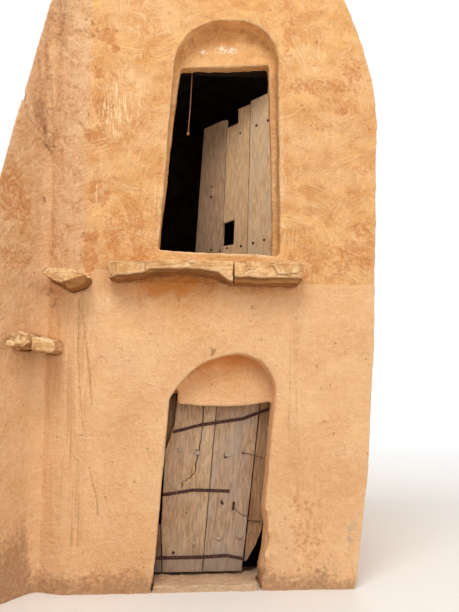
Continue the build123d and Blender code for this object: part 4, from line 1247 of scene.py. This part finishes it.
@dataclass
class Masonry:
    """The building's plastered masonry: fronts, corner wing, side walls, vaults and rooms."""

    fine: float = 0.012        # mesh size of the front
    coarse: float = 0.042      # of the rest
    sill: float = 0.008        # and of the threshold
    tail_start: float = 0.012  # the slabs' tails begin this far behind the front's face
    soft: tuple[tuple[Point, Point, int], ...] = (     # boxes in which the arrises are rounded more, and how much
        ((-9.0, -9.0, -9.0), (-1.28, 9.0, 9.0), 7), ((1.0, -9.0, -9.0), (9.0, 9.0, 9.0), 7),
        ((0.38, -0.3, 2.5), (0.56, -0.12, 4.3), 12), ((0.26, -0.3, 0.95), (0.5, -0.12, 1.72), 12),
        ((-0.66, -0.3, 0.05), (-0.36, -0.12, 1.35), 5),
    )
    front_depth: float = 0.3   # how far back the fine mesh reaches behind the front
    overlap: float = 0.05
    wing_x: float = -1.245     # where the corner wing begins
    storey: float = 2.35       # the height at which the two storeys' pieces meet
    wing_nose: Plane = ((-1.714, 0, 2.5), (-0.99, 0, 0.141))    # a clean blunt edge instead of a knife
    bury: float = 0.1          # the walls are worked on down to this depth, then cut at the ground
    margin: float = 0.5 * MM   # the worn surface stays this far inside the whole part's box
    room_half: float = 0.81
    room_front: float = 0.012
    room_back: float = 0.2     # from the rooms' back to the building's
    lower_room_floor: float = 0.01
    lower_room_top: float = 2.12
    upper_room_floor: float = 2.38
    upper_room_top: float = 5.08
    lower_front: Names = ("lower_front_left", "lower_front_right", "lower_front_arch", "lower_tympanum")
    upper_front: Names = ("upper_front_left", "upper_front_right", "upper_front_gable", "upper_tympanum", "upper_sill")
    lower_body: Names = ("lower_left_wall", "lower_right_wall", "lower_back_wall", "lower_vault", "lower_floor")
    upper_body: Names = ("upper_left_wall", "upper_right_wall", "upper_back_wall", "upper_vault", "upper_floor")
    wing: Names = ("corner_wing",)
    slabs: Names = ("ledge_slab_left", "ledge_slab_right")
    plaster: EarthPlaster = field(default_factory=EarthPlaster)
    # Lightened as painted light, since the door's recess shades the threshold.
    trodden: EarthPlaster = EarthPlaster(
        "earth_threshold_trodden", ("#E2B790", "#F2CEA8"), blush="#EBC4A1", pale="#F8DFC0", soil="#B8926E"
    )
    # The rooms' plaster, dark as painted shade.
    soot: RoomPlaster = field(default_factory=RoomPlaster)

    def worked(self, bm: Shells, size: float, passes: int) -> Mesh:
        """Remesh masonry, round it, wear it and paint its masks.

        Args:
            bm: The masonry's closed shells, which are used up.
            size: The mesh size, in metres.
            passes: How often it is smoothed.

        Returns:
            The worn mesh.
        """
        for vert in bm.verts:
            if vert.co.z < MM:
                vert.co.z = -self.bury
        bm = remeshed(bm, size)
        for low, high, rounds in self.soft:
            rounded(bm, [v for v in bm.verts if all(a < b < c for a, b, c in zip(low, v.co, high))], rounds)
        smoothed(bm, passes)
        mesh = mesh_of(bm, "worn")
        points, normals = surface(mesh)
        masks, moves = self.weathering.shape(points, normals)
        low = np.array((self.weathering.low.x + self.margin, self.weathering.low.y + self.margin, -self.bury))
        high = np.array(self.weathering.high) - self.margin
        mesh.vertices.foreach_set("co", np.clip(points + moves, low, high).ravel())
        mesh.update()
        masks[Weathering.MARKS].append(hollowness(mesh, size))
        for name, columns in masks.items():
            paint(mesh, name, columns)
        return mesh

    def section(self, mesh: Mesh, name: str, planes: Iterable[Plane], replaced: Sequence[str] = ()) -> None:
        """Cut one piece out of a worn mesh and dress it.

        Args:
            mesh: The worn mesh, which is kept.
            name: The piece's name.
            planes: The planes that it is cut along.
            replaced: The CAD nodes that it stands for.
        """
        bm = bmesh_of(mesh)
        for plane in planes:
            cut_off(bm, plane)
        for face in bm.faces:
            face.material_index = int(self.in_room(face.calc_center_median(), face.normal))
        piece(bm, name, (self.plaster_material, self.room_shade_material), Body.BUILDING, replaced)

    def in_room(self, spot: Vector, normal: Vector) -> bool:
        """Tell whether a spot of the surface is inside, behind the arched screens.

        Args:
            spot: The spot.
            normal: The way the surface faces there.

        Returns:
            Whether a room's plaster is to be seen there.
        """
        back = self.weathering.high.y - self.room_back
        if abs(spot.x) > self.room_half or not self.room_front < spot.y < back:
            return False
        for low, high in ((self.lower_room_floor, self.lower_room_top), (self.upper_room_floor, self.upper_room_top)):
            if low < spot.z < high:
                middle = Vector((0, (self.room_front + back) / 2, (low + high) / 2))
                return normal.dot(middle - spot) > 0
        return False

    def build(self, weathering: Weathering) -> None:
        """Build the fronts, wing, body and threshold.

        Args:
            weathering: What shapes and colours their surface.
        """
        self.weathering = weathering
        self.plaster_material = self.plaster.material()
        self.room_shade_material = self.soot.material()
        front_y = weathering.front_y
        back = front_y + self.front_depth
        masses = self.lower_front + self.upper_front + self.lower_body + self.upper_body
        tails = mesh_of(node_copy(self.slabs, (((0, front_y + self.tail_start, 0), (0, -1, 0)),)), "tails")
        ground = ((0, 0, 0), (0, 0, -1))
        up, down = ((0, 0, self.storey), (0, 0, 1)), ((0, 0, self.storey), (0, 0, -1))
        left, right = ((self.wing_x, 0, 0), (1, 0, 0)), ((self.wing_x, 0, 0), (-1, 0, 0))
        front, rest = ((0, back, 0), (0, 1, 0)), ((0, back - self.overlap, 0), (0, -1, 0))
        whole = node_copy(masses + self.wing, (((0, back + self.overlap, 0), (0, 1, 0)),))
        whole.from_mesh(tails)
        fine = self.worked(whole, self.fine, 1)
        self.section(fine, "lower_front_plaster", (front, ground, up, right), self.lower_front)
        self.section(fine, "upper_front_plaster", (front, down, right), self.upper_front)
        self.section(fine, "corner_wing_plaster", (front, ground, left, self.wing_nose), self.wing)
        bpy.data.meshes.remove(fine)
        behind = ((0, back - 3 * self.overlap, 0), (0, -1, 0))
        coarse = self.worked(node_copy(masses, (behind,)), self.coarse, 2)
        self.section(coarse, "lower_body_plaster", (rest, ground, up), self.lower_body)
        self.section(coarse, "upper_body_plaster", (rest, down), self.upper_body)
        wing = self.worked(node_copy(self.wing, (behind,)), self.coarse, 2)
        self.section(wing, "corner_wing_rear_plaster", (rest, ground))
        sill = self.worked(node_copy(("threshold",)), self.sill, 3)
        bm = bmesh_of(sill)
        cut_off(bm, ground)
        piece(bm, "threshold_trodden", (self.trodden.material(),), Body.BUILDING, ("threshold",))


@dataclass(frozen=True)
class Stone:
    """One split stone: its CAD node, the size and depth of its breaks, and its lower bed."""

    node: str
    facet: float = 0.075       # how wide a break is
    chip: float = 0.012        # how deep breaks are
    bed: tuple[Spot, ...] = ()  # the line between its beds: places along X and how far each is below the top
    set_back: float = 0.0      # how far the lower bed lies back


@dataclass
class StoneWork:
    """The split slabs of the ledge and the climbing stones."""

    size: float = 0.007                     # mesh size
    proportions: Point = (1.0, 1.0, 0.7)    # of the facets
    spare: int = 8                          # how many more facets there are than fill the box
    shallow: float = 1.5                    # above 1, more of them are shallow
    slope: float = 0.16                     # how much they lean at most
    wave: float = 0.01                      # how far their edges wander
    dust: float = 0.0012                    # how rough they are
    layers: float = 0.006                   # how deep the lower bed's layers are
    bed_wave: float = 0.005                 # how far that bed's upper edge wanders,
    bed_edge: Spot = (0.005, -0.003)        # and over what height the bed begins
    finish: SplitStone = field(default_factory=SplitStone)
    stones: tuple[Stone, ...] = (
        Stone(
            "ledge_slab_left", 0.17, 0.007,
            ((-0.876, 0.125), (-0.62, 0.1), (-0.57, 0.066), (-0.19, 0.06), (-0.06, 0.085), (0.04, 0.15)),
            0.045,
        ),
        Stone("ledge_slab_right", 0.15, 0.007, ((0.06, 0.115), (0.3, 0.125), (0.62, 0.11)), 0.03),
        Stone("step_stone_low_left", 0.05, 0.016),
        Stone("step_stone_low_right", 0.09, 0.006),
        Stone("step_stone_high", 0.13, 0.008, ((-1.5, 0.09), (-1.3, 0.125), (-1.2, 0.115), (-1.05, 0.06)), 0.004),
    )

    def build(self) -> None:
        """Build each stone from its CAD node."""
        material = self.finish.material()
        for stone in self.stones:
            self.split(stone, material)

    def broken(self, points: Array, stone: Stone, low: Array, high: Array) -> Array:
        """Say how deep a stone is broken away in flat facets.

        Args:
            points: One row of x, y and z for each point of its surface.
            stone: The stone.
            low: The lowest corner of its node's box.
            high: The highest corner of its node's box.

        Returns:
            One depth for each point, in metres.
        """
        draw = random.Random(stone.node)
        stretch = np.array(self.proportions) * stone.facet
        count = int(np.prod(np.maximum((high - low) / stretch, 1.0))) + self.spare
        middles = np.array([[draw.uniform(a, b) for a, b in zip(low, high)] for _ in range(count)])
        slopes = np.array([[draw.uniform(-self.slope, self.slope) for _ in range(3)] for _ in range(count)])
        depths = np.array([draw.uniform(0.0, 1.0) ** self.shallow * stone.chip for _ in range(count)])
        wavy = points + self.wave * np.stack([lumps(points, 0.04, seed) for seed in (1.0, 2.0, 3.0)], axis=1)
        cell = np.argmin([(((wavy - middle) / stretch) ** 2).sum(axis=1) for middle in middles], axis=0)
        return np.maximum(depths[cell] + ((points - middles[cell]) * slopes[cell]).sum(axis=1), 0.0)

    def split(self, stone: Stone, material: Material) -> None:
        """Remesh one stone and break its surface into flat facets along its beds.

        Args:
            stone: The stone.
            material: Its material.
        """
        bm = remeshed(node_copy((stone.node,)), self.size)
        smoothed(bm, 1)
        points = np.array([v.co for v in bm.verts])
        normals = np.array([v.normal for v in bm.verts])
        low, high = (np.array(corner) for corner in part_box(stone.node))
        depth = self.broken(points, stone, low, high) + self.dust * (1 + lumps(points, 0.014, 13.0, 2))
        moved = np.clip(points - normals * depth[:, None], low, high)
        lower = np.zeros(len(points))
        if stone.bed:
            bed_x, drop = zip(*stone.bed)
            bed = high[2] - np.interp(points[:, 0], bed_x, drop) + self.bed_wave * lumps(points, 0.1, 17.0, 2)
            lower = smooth_range(*self.bed_edge, points[:, 2] - bed)
            layers = self.layers * lumps(points, 0.03, 29.0, 2, (8.0, 8.0, 1.0))
            moved[:, 1] = np.maximum(moved[:, 1], low[1] + lower * (stone.set_back + layers))
        for vert, place in zip(bm.verts, moved.tolist()):
            vert.co = place
        smoothed(bm, 1)
        # The lower bed's mask, which the material darkens as grime and painted shade.
        marks = (lower, np.zeros(len(points)), np.zeros(len(points)))
        piece(bm, stone.node + "_split", (material,), Body.BUILDING, (stone.node,), marks, self.size)


@dataclass(frozen=True)
class Plank:
    """One board: its CAD node, its finish, and the cracks, raw wood and rust on its face."""

    node: str
    finish: WeatheredBoard
    cracks: Marks = ()
    raw: Marks = ()
    rust: Marks = ()
    touches_below: float = 0.0  # its left side is moved towards its neighbour up to this height
    overlap: float = 0.0       # and by this much
    step: float = 0.018        # mesh size along the grain


@dataclass
class Boards:
    """Hewn boards, posts, battens, straps and nails of both doors."""

    body: Body = Body.BUILDING
    grain_step: float = 0.004  # mesh size across the grain
    arris: float = 0.003
    raised: float = 0.0009     # height of the grain
    worn: float = 0.0018       # how far the narrow sides are worn
    crack_depth: float = 0.006
    raw_depth: float = 0.002
    dented: float = 0.0012     # how uneven nail heads and pegs are
    domed: float = 0.7         # how high they are, as a share of their half height
    nail_sink: float = 0.001   # how deep they sit in the wood
    wire_sides: int = 8

    def hewn(self, node: str, along: Vector, across: Vector, step: float, length_step: float, raised: float) -> Shells:
        """Copy a straight CAD solid and give it rounded arrises and a worked surface.

        Args:
            node: The CAD node.
            along: The direction of its length.
            across: The direction of its width.
            step: The mesh size across.
            length_step: The mesh size along.
            raised: How high the worked surface's ridges are, in metres.

        Returns:
            The mesh.
        """
        bm = node_copy((node,))
        bmesh.ops.dissolve_limit(bm, angle_limit=0.02, verts=bm.verts, edges=bm.edges)
        bmesh.ops.bevel(
            bm, geom=bm.edges[:], offset=self.arris, offset_type="OFFSET", segments=2, profile=0.5,
            affect="EDGES", material=-1, clamp_overlap=True,
        )
        sliced(bm, across, step)
        sliced(bm, along, length_step)
        bmesh.ops.triangulate(bm, faces=[f for f in bm.faces if len(f.verts) > 4])
        bm.normal_update()
        points = np.array([v.co for v in bm.verts])
        local = np.stack((points @ np.array(across), points[:, 1] * 0.3, points @ np.array(along)), axis=1)
        ridges = lumps(local, 0.012, 3.0, 2, (1.0, 1.0, 20.0))
        warp = lumps(local, 0.2, 8.0, 1, (1.0, 1.0, 2.0))
        notch = lumps(local, 0.05, 12.0, 2, (1.0, 1.0, 1.6))
        for vert, ridge, bend, nick in zip(bm.verts, ridges.tolist(), warp.tolist(), notch.tolist()):
            edge_on = abs(vert.normal.dot(across))
            push = raised * (1 + ridge + 0.8 * bend) + edge_on * self.worn * (1 + nick)
            vert.co -= vert.normal * max(push, 0.0)
        smoothed(bm)
        return bm

    def board(self, plank: Plank, along: Vector, across: Vector) -> None:
        """Make one board from its CAD node, with its cracks and marks.

        Args:
            plank: The board.
            along: The direction of the grain.
            across: The direction of the board's width.
        """
        bm = self.hewn(plank.node, along, across, self.grain_step, plank.step, self.raised)
        points = np.array([v.co for v in bm.verts])
        seen = np.clip(np.array([-v.normal.y for v in bm.verts]) * 2, 0, 1)
        edge = lumps(points, 0.02, 31.0, 2)
        x, _, z = points.T
        cracks, raw, rust = (strongest(marks, x, z, edge) * seen for marks in (plank.cracks, plank.raw, plank.rust))
        for vert, crack, bare in zip(bm.verts, cracks.tolist(), raw.tolist()):
            vert.co.y += self.crack_depth * crack + self.raw_depth * bare
            if vert.co.z < plank.touches_below and vert.normal.dot(across) < -0.3:
                vert.co -= across * plank.overlap
        piece(
            bm, plank.node + "_hewn", (plank.finish.material(),), self.body, (plank.node,),
            (cracks, raw, rust), plank.step,
        )

    def leaf(self, level: Vector) -> None:
        """Make the leaf's boards, which lean to the right as their grain does, seen from the front.

        Args:
            level: The direction of the leaf's width.
        """
        upright = Vector((0, 0, 1))
        for plank in self.planks:
            lean = math.copysign(plank.finish.lean, level.x)
            along = upright * math.cos(lean) + level * math.sin(lean)
            across = level * math.cos(lean) - upright * math.sin(lean)
            self.board(plank, along, across)

    def studs(
        self, name: str, heads: Sequence[tuple[Point, float, float]], outward: Vector, material: Material
    ) -> None:
        """Make hammered nail heads or pegs on a board's face.

        Args:
            name: The piece's name.
            heads: The middle, half width and half height of each head.
            outward: The direction that the heads stick out in.
            material: Their material.
        """
        bm = bmesh.new()
        turn = outward.to_track_quat("Z", "Y").to_matrix().to_4x4()
        for place, half_width, half_height in heads:
            head = bmesh.ops.create_icosphere(bm, subdivisions=2, radius=1.0)["verts"]
            bmesh.ops.scale(bm, vec=(half_width, half_height, self.domed * half_height), verts=head)
            bmesh.ops.transform(bm, matrix=Matrix.Translation(place) @ turn, verts=head)
        points = np.array([v.co for v in bm.verts])
        bm.normal_update()
        for vert, dent in zip(bm.verts, lumps(points, 0.01, 7.0, 2).tolist()):
            vert.co += vert.normal * self.dented * dent
        smoothed(bm)
        piece(bm, name, (material,), self.body)

    def rods(self, name: str, runs: Sequence[tuple[Sequence[Point], float]], material: Material) -> None:
        """Make bent wires and rods out of short round bars that meet at their bends.

        Args:
            name: The piece's name.
            runs: The points and the radius of each wire.
            material: Their material.
        """
        bm = bmesh.new()
        for route, radius in runs:
            for start, end in zip(route, route[1:]):
                a, b = Vector(start), Vector(end)
                bar = bmesh.ops.create_cone(
                    bm, cap_ends=True, cap_tris=False, segments=self.wire_sides, radius1=radius, radius2=radius,
                    depth=(b - a).length + radius,
                )["verts"]
                turn = (b - a).to_track_quat("Z", "Y").to_matrix().to_4x4()
                bmesh.ops.transform(bm, matrix=Matrix.Translation((a + b) / 2) @ turn, verts=bar)
        for face in bm.faces:
            face.smooth = len(face.verts) == 4
        piece(bm, name, (material,), self.body)


@dataclass
class LowerDoor(Boards):
    """The lower door: leaning boards on battens, a broken lock stile, straps, pegs and wires."""

    body: Body = Body.LOWER_DOOR
    face_y: float = 0.025
    wire_stand: float = 0.004
    strap_steps: Point = (0.006, 0.012, 0.0011)    # mesh size across and along a strap, and its hammering's height
    planks: tuple[Plank, ...] = (
        Plank(
            "door_plank_left",
            WeatheredBoard("board_warm_brown", "#8E7054", "#CCA884", "#B8A38C", 0.35, 0.066),
            cracks=(
                Line(((-0.435, 0.806), (-0.419, 0.737), (-0.387, 0.698), (-0.34, 0.675)), 0.0045, 0.62),
                Line((
                    (-0.15, 1.168), (-0.157, 1.12), (-0.158, 1.075), (-0.171, 1.04), (-0.173, 1.005),
                    (-0.19, 0.96), (-0.19, 0.925), (-0.206, 0.885), (-0.2, 0.85), (-0.213, 0.815),
                    (-0.232, 0.802), (-0.243, 0.778), (-0.262, 0.777), (-0.276, 0.761), (-0.298, 0.756),
                    (-0.309, 0.74), (-0.304, 0.722), (-0.313, 0.705),
                ), 0.0055, 0.8),
            ),
            raw=(Line(((-0.206, 0.9), (-0.222, 0.806), (-0.27, 0.75), (-0.3, 0.715)), 0.012, 0.7),),
            step=0.008,
        ),
        Plank(
            "door_plank_middle",
            WeatheredBoard("board_light_brown", "#937555", "#D1AF89", "#BDA890", 0.28, 0.058),
            touches_below=1.165, overlap=0.01,
        ),
        Plank(
            "door_plank_right",
            WeatheredBoard("board_silvered", "#8A6D54", "#C6A584", "#A99C90", 0.5, 0.1, offset=0.81),
            cracks=(
                # A slot through the board: a shallow groove painted dark as painted shade in place of a hole.
                Line(((0.101, 0.593), (0.093, 0.532)), 0.01),
                Line(((0.002, 0.592), (0.01, 0.583)), 0.012),
                Line(((0.028, 0.952), (0.034, 0.938)), 0.012, 0.9),
            ),
            touches_below=2.0, overlap=0.0025,
        ),
        Plank(
            "door_wedge", WeatheredBoard("board_dark_brown", "#5E4431", "#94745A", "#85705C", 0.25, 0.058, offset=1.3)
        ),
        Plank(
            "door_lock_stile",
            WeatheredBoard("stile_brown", "#75573D", "#BB9068", "#A18A72", 0.3, 0.09, offset=1.9),
            rust=(Patch(0.235, 0.56, 0.02, 0.11, 0.9, 0.6), Patch(0.262, 1.02, 0.014, 0.1, 0.6, 0.6)),
            touches_below=2.0, overlap=0.003,
        ),
        Plank("door_battens", WeatheredBoard("batten_brown", offset=2.4)),
    )
    straps: Names = ("door_strap_top", "door_strap_middle", "door_strap_bottom")
    pegs: tuple[Mark, ...] = (     # middle, half width and half height
        (-0.19, 0.972, 0.028, 0.017), (0.056, 0.955, 0.032, 0.016), (-0.017, 0.316, 0.028, 0.017),
        (0.144, 0.326, 0.026, 0.02), (-0.216, 0.282, 0.015, 0.021), (-0.327, 0.998, 0.021, 0.02),
    )
    nails: tuple[Mark, ...] = (
        (-0.37, 0.218, 0.011, 0.011), (0.168, 0.971, 0.007, 0.007), (-0.197, 0.998, 0.008, 0.006),
        (0.034, 0.942, 0.008, 0.007), (-0.27, 0.519, 0.006, 0.005), (-0.046, 1.23, 0.005, 0.005),
        (0.212, 0.449, 0.006, 0.006), (-0.026, 0.309, 0.007, 0.005), (-0.218, 0.268, 0.006, 0.006),
    )
    wires: tuple[tuple[float, tuple[Point, ...]], ...] = (     # radius, then X, Z and stand-off of each bend
        (0.0022, ((0.168, 0.971, 0.0), (0.215, 0.966, 0.004), (0.29, 0.944, 0.002), (0.33, 0.932, 0.0))),
        (0.002, ((0.097, 0.56, 0.0), (0.13, 0.52, 0.004), (0.17, 0.492, 0.004), (0.211, 0.485, 0.0))),
        (0.0035, ((0.222, 0.449, 0.0), (0.306, 0.443, 0.0))),
    )

    def build(self, iron: Material) -> None:
        """Build the leaf and its ironwork.

        Args:
            iron: The ironwork's material.
        """
        level, upright, outward = Vector((1, 0, 0)), Vector((0, 0, 1)), Vector((0, -1, 0))
        self.leaf(level)
        wood = WeatheredBoard("peg_olive_end_grain", "#8F7B69", "#BBA791", "#AC9C8E", 0.5, offset=6.6).material()
        for name, heads, sink, material in (
            ("door_pegs", self.pegs, 0.0, wood), ("door_nails", self.nails, self.nail_sink, iron),
        ):
            places = [((x, self.face_y - sink, z), half_x, half_z) for x, z, half_x, half_z in heads]
            self.studs(name, places, outward, material)
        runs = [
            ([(x, self.face_y - self.wire_stand - stand, z) for x, z, stand in bends], radius)
            for radius, bends in self.wires
        ]
        self.rods("door_hasp_wires", runs, iron)
        for node in self.straps:
            bm = self.hewn(node, level, upright, *self.strap_steps)
            piece(bm, node + "_hammered", (iron,), self.body, (node,))


@dataclass
class UpperDoor(Boards):
    """The upper door, half open: three short boards with broken tops, one with the key's hole."""

    angle: float = math.radians(45)
    hinge: Spot = (0.455, 0.05)
    # The three boards' colours are lightened as painted light, since the half-open leaf in the narrow doorway gets
    # little lamp light.
    planks: tuple[Plank, ...] = (
        Plank("upper_door_plank_left", WeatheredBoard(
            "upper_board_dark", "#9A7858", "#D6AE86", "#BBA48C", 0.25, 0.085, math.radians(45), 3.1)),
        Plank("upper_door_plank_middle", WeatheredBoard(
            "upper_board_light", "#BC9266", "#EFC595", "#DCC09E", 0.25, 0.04, math.radians(45), 3.7)),
        Plank("upper_door_plank_right", WeatheredBoard(
            "upper_board_silvered", "#BF9A6E", "#F2CCA0", "#D9C4AA", 0.4, 0.03, math.radians(45), 4.4)),
        Plank("upper_door_battens", WeatheredBoard("upper_batten", offset=5.0)),
        Plank("upper_door_post", WeatheredBoard("upper_post", offset=5.5)),
    )
    nails: tuple[Point, ...] = (                               # reach from the hinge, height and radius
        (0.738, 3.225, 0.013), (0.726, 3.318, 0.01), (0.245, 2.721, 0.013), (0.38, 2.714, 0.013),
        (0.125, 2.73, 0.011), (0.736, 2.729, 0.013), (0.626, 2.704, 0.011), (0.542, 2.72, 0.011),
        (0.2, 3.765, 0.013), (0.07, 3.775, 0.013), (0.385, 3.745, 0.01),
    )

    def build(self, iron: Material) -> None:
        """Build the leaf.

        Args:
            iron: The nails' material.
        """
        level = Vector((-math.cos(self.angle), math.sin(self.angle), 0))
        outward = Vector((-math.sin(self.angle), -math.cos(self.angle), 0))
        heads = [
            (Vector((*self.hinge, height)) + level * reach - outward * self.nail_sink, radius, radius)
            for reach, height, radius in self.nails
        ]
        self.leaf(level)
        self.studs("upper_door_nails", heads, outward, iron)


@dataclass
class HangingCord:
    """Cord that hangs from the upper lintel and ends in a knot."""

    diameter: float = 0.008
    length: float = 0.565
    rounding: int = 3          # steps of its round section in a quarter turn
    order: int = 3             # of the curve through the route
    steps: int = 12            # from one point of the route to the next
    route: tuple[Point, ...] = (
        (-0.254, 0.07, 4.2), (-0.254, 0.07, 4.105), (-0.261, 0.068, 4.01), (-0.264, 0.072, 3.915),
        (-0.27, 0.071, 3.82), (-0.277, 0.074, 3.725), (-0.283, 0.072, 3.635),
    )
    finish: PlantCord = field(default_factory=PlantCord)

    def build(self) -> None:
        """Lay the cord along its route and dress its knot."""
        curve = bpy.data.curves.new("cord_hanging", "CURVE")
        curve.dimensions = "3D"
        curve.bevel_depth = self.diameter / 2
        curve.bevel_resolution = self.rounding
        curve.use_fill_caps = True
        spline = curve.splines.new("NURBS")
        spline.points.add(len(self.route) - 1)
        for point, place in zip(spline.points, self.route):
            point.co = (*place, 1.0)
        spline.order_u = self.order
        spline.use_endpoint_u = True
        spline.resolution_u = self.steps
        material = self.finish.material()
        curve.materials.append(material)
        cord = link(bpy.data.objects.new("cord_hanging", curve))
        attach(cord, Body.BUILDING.value)
        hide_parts("hanging_cord")
        dress("cord_knot", material)


def dress(node: str, material: Material) -> None:
    """Give a CAD node that stays a material in its object's own slots.

    Args:
        node: The node's name.
        material: Its material.
    """
    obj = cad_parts[node]
    if not obj.material_slots:
        obj.data.materials.append(material)
    for slot in obj.material_slots:
        slot.link = "OBJECT"
        slot.material = material
    LOG.info("%s: dressed", node)


@dataclass(frozen=True)
class Lamp:
    """A square soft lamp."""

    name: str
    place: Point
    size: float
    power: float


@dataclass
class Studio:
    """Pale floor, plain soft light and the camera."""

    floor_half: float = 30.0
    floor: str = "#F4F1EC"
    sky: str = "#FFFFFF"
    ambient: float = 0.5
    floor_near: float = 5.0            # the floor turns to plain white between these distances
    floor_far: float = 13.0
    camera: Point = (-0.3, -5.2, 1.5)
    yaw: float = math.radians(4.0)     # to the right of straight ahead
    pitch: float = math.radians(7.06)  # upwards
    lens: float = 38.0
    sight: float = 200.0               # how far the camera sees
    lamps: tuple[Lamp, ...] = (
        Lamp("key", (-2.0, -6.6, 10.2), 4.0, 565.0),
        Lamp("fill", (5.5, -8.0, 5.0), 5.0, 250.0),
        Lamp("back", (3.0, 10.0, 8.0), 6.0, 420.0),
        Lamp("side", (-10.0, 4.0, 7.0), 6.0, 300.0),
    )
    target: Point = (0.0, 1.0, 2.4)

    def build(self) -> None:
        """Set up floor, world, lamps, camera and view."""
        self.lay_floor()
        self.light_world()
        for lamp in self.lamps:
            light = bpy.data.lights.new(lamp.name, "AREA")
            light.shape = "SQUARE"
            light.size = lamp.size
            light.energy = lamp.power
            obj = link(bpy.data.objects.new(lamp.name, light))
            obj.location = lamp.place
            obj.rotation_euler = (Vector(self.target) - Vector(lamp.place)).to_track_quat("-Z", "Y").to_euler()
        camera = bpy.data.cameras.new("camera")
        camera.lens = self.lens
        camera.clip_end = self.sight
        obj = link(bpy.data.objects.new("camera", camera))
        obj.location = self.camera
        obj.rotation_euler = (math.pi / 2 + self.pitch, 0, -self.yaw)
        bpy.context.scene.camera = obj
        bpy.context.scene.view_settings.view_transform = "Standard"

    def lay_floor(self) -> None:
        """Lay a pale floor that fades to white in the distance."""
        bm = bmesh.new()
        bmesh.ops.create_grid(bm, x_segments=1, y_segments=1, size=self.floor_half)
        mesh = mesh_of(bm, "studio_floor")
        canvas = Canvas(bpy.data.materials.new("studio_floor_paper"))
        paper = canvas.add(
            "ShaderNodeBsdfPrincipled",
            {"Base Color": linear(self.floor), "Roughness": 0.9, "Specular IOR Level": 0.1},
        )
        away = canvas.add("ShaderNodeVectorMath", {"operation": "LENGTH"}, {0: canvas.place})["Value"]
        ends = {"From Min": self.floor_near, "From Max": self.floor_far}
        far = canvas.add("ShaderNodeMapRange", ends | SMOOTH, {"Value": away})
        seen = canvas.add("ShaderNodeLightPath")["Is Camera Ray"]
        amount = canvas.add("ShaderNodeMath", {"operation": "MULTIPLY"}, {0: far[0], 1: seen})
        white = canvas.add("ShaderNodeEmission", {"Color": linear(self.sky), "Strength": 1.0})
        blend = canvas.add("ShaderNodeMixShader", {}, {0: amount[0], 1: paper[0], 2: white[0]})
        canvas.add("ShaderNodeOutputMaterial", {}, {"Surface": blend[0]})
        mesh.materials.append(canvas.owner)
        link(bpy.data.objects.new("studio_floor", mesh))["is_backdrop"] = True

    def light_world(self) -> None:
        """Light everything softly from all sides, and show a white background."""
        world = bpy.data.worlds.new("studio")
        bpy.context.scene.world = world
        canvas = Canvas(world)
        path = canvas.add("ShaderNodeLightPath")
        seen = path["Is Camera Ray"]
        for other in ("Is Glossy Ray", "Is Transmission Ray"):
            seen = canvas.add("ShaderNodeMath", {"operation": "MAXIMUM"}, {0: seen, 1: path[other]})[0]
        light, white = (
            canvas.add("ShaderNodeBackground", {"Color": linear(self.sky), "Strength": strength})[0]
            for strength in (self.ambient, 1.0)
        )
        mix = canvas.add("ShaderNodeMixShader", {}, {0: seen, 1: light, 2: white})
        canvas.add("ShaderNodeOutputWorld", {}, {"Surface": mix[0]})


def main() -> None:
    """Build every sub-assembly in order."""
    logging.basicConfig(level=logging.INFO, format="%(relativeCreated)6d ms %(message)s")
    Studio().build()
    HangingCord().build()
    low, high = Vector(cad_box[0]), Vector(cad_box[1])
    weathering = Weathering(front_y=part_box("lower_front_right")[0].y, low=low, high=high)
    Masonry().build(weathering)
    StoneWork().build()
    iron = WroughtIron().material()
    LowerDoor().build(iron)
    UpperDoor().build(iron)
    post = WeatheredBoard("post_brown", offset=6.1).material()
    # The lintels stand in the dark doorways; their near-black colour is painted shade.
    lintel = WeatheredBoard("lintel_smoked", "#1C140E", "#38291C", "#2E251C", 0.2, offset=6.8).material()
    for node, material in (("door_pivot_post", post), ("lower_lintel", lintel), ("upper_lintel", lintel)):
        dress(node, material)


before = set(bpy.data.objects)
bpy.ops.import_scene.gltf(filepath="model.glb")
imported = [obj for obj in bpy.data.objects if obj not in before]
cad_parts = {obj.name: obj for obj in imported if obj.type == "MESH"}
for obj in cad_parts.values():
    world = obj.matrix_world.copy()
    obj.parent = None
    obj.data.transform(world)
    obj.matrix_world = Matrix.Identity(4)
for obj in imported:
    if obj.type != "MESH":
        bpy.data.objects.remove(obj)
cad_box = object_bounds()

if __name__ == "__main__":
    main()
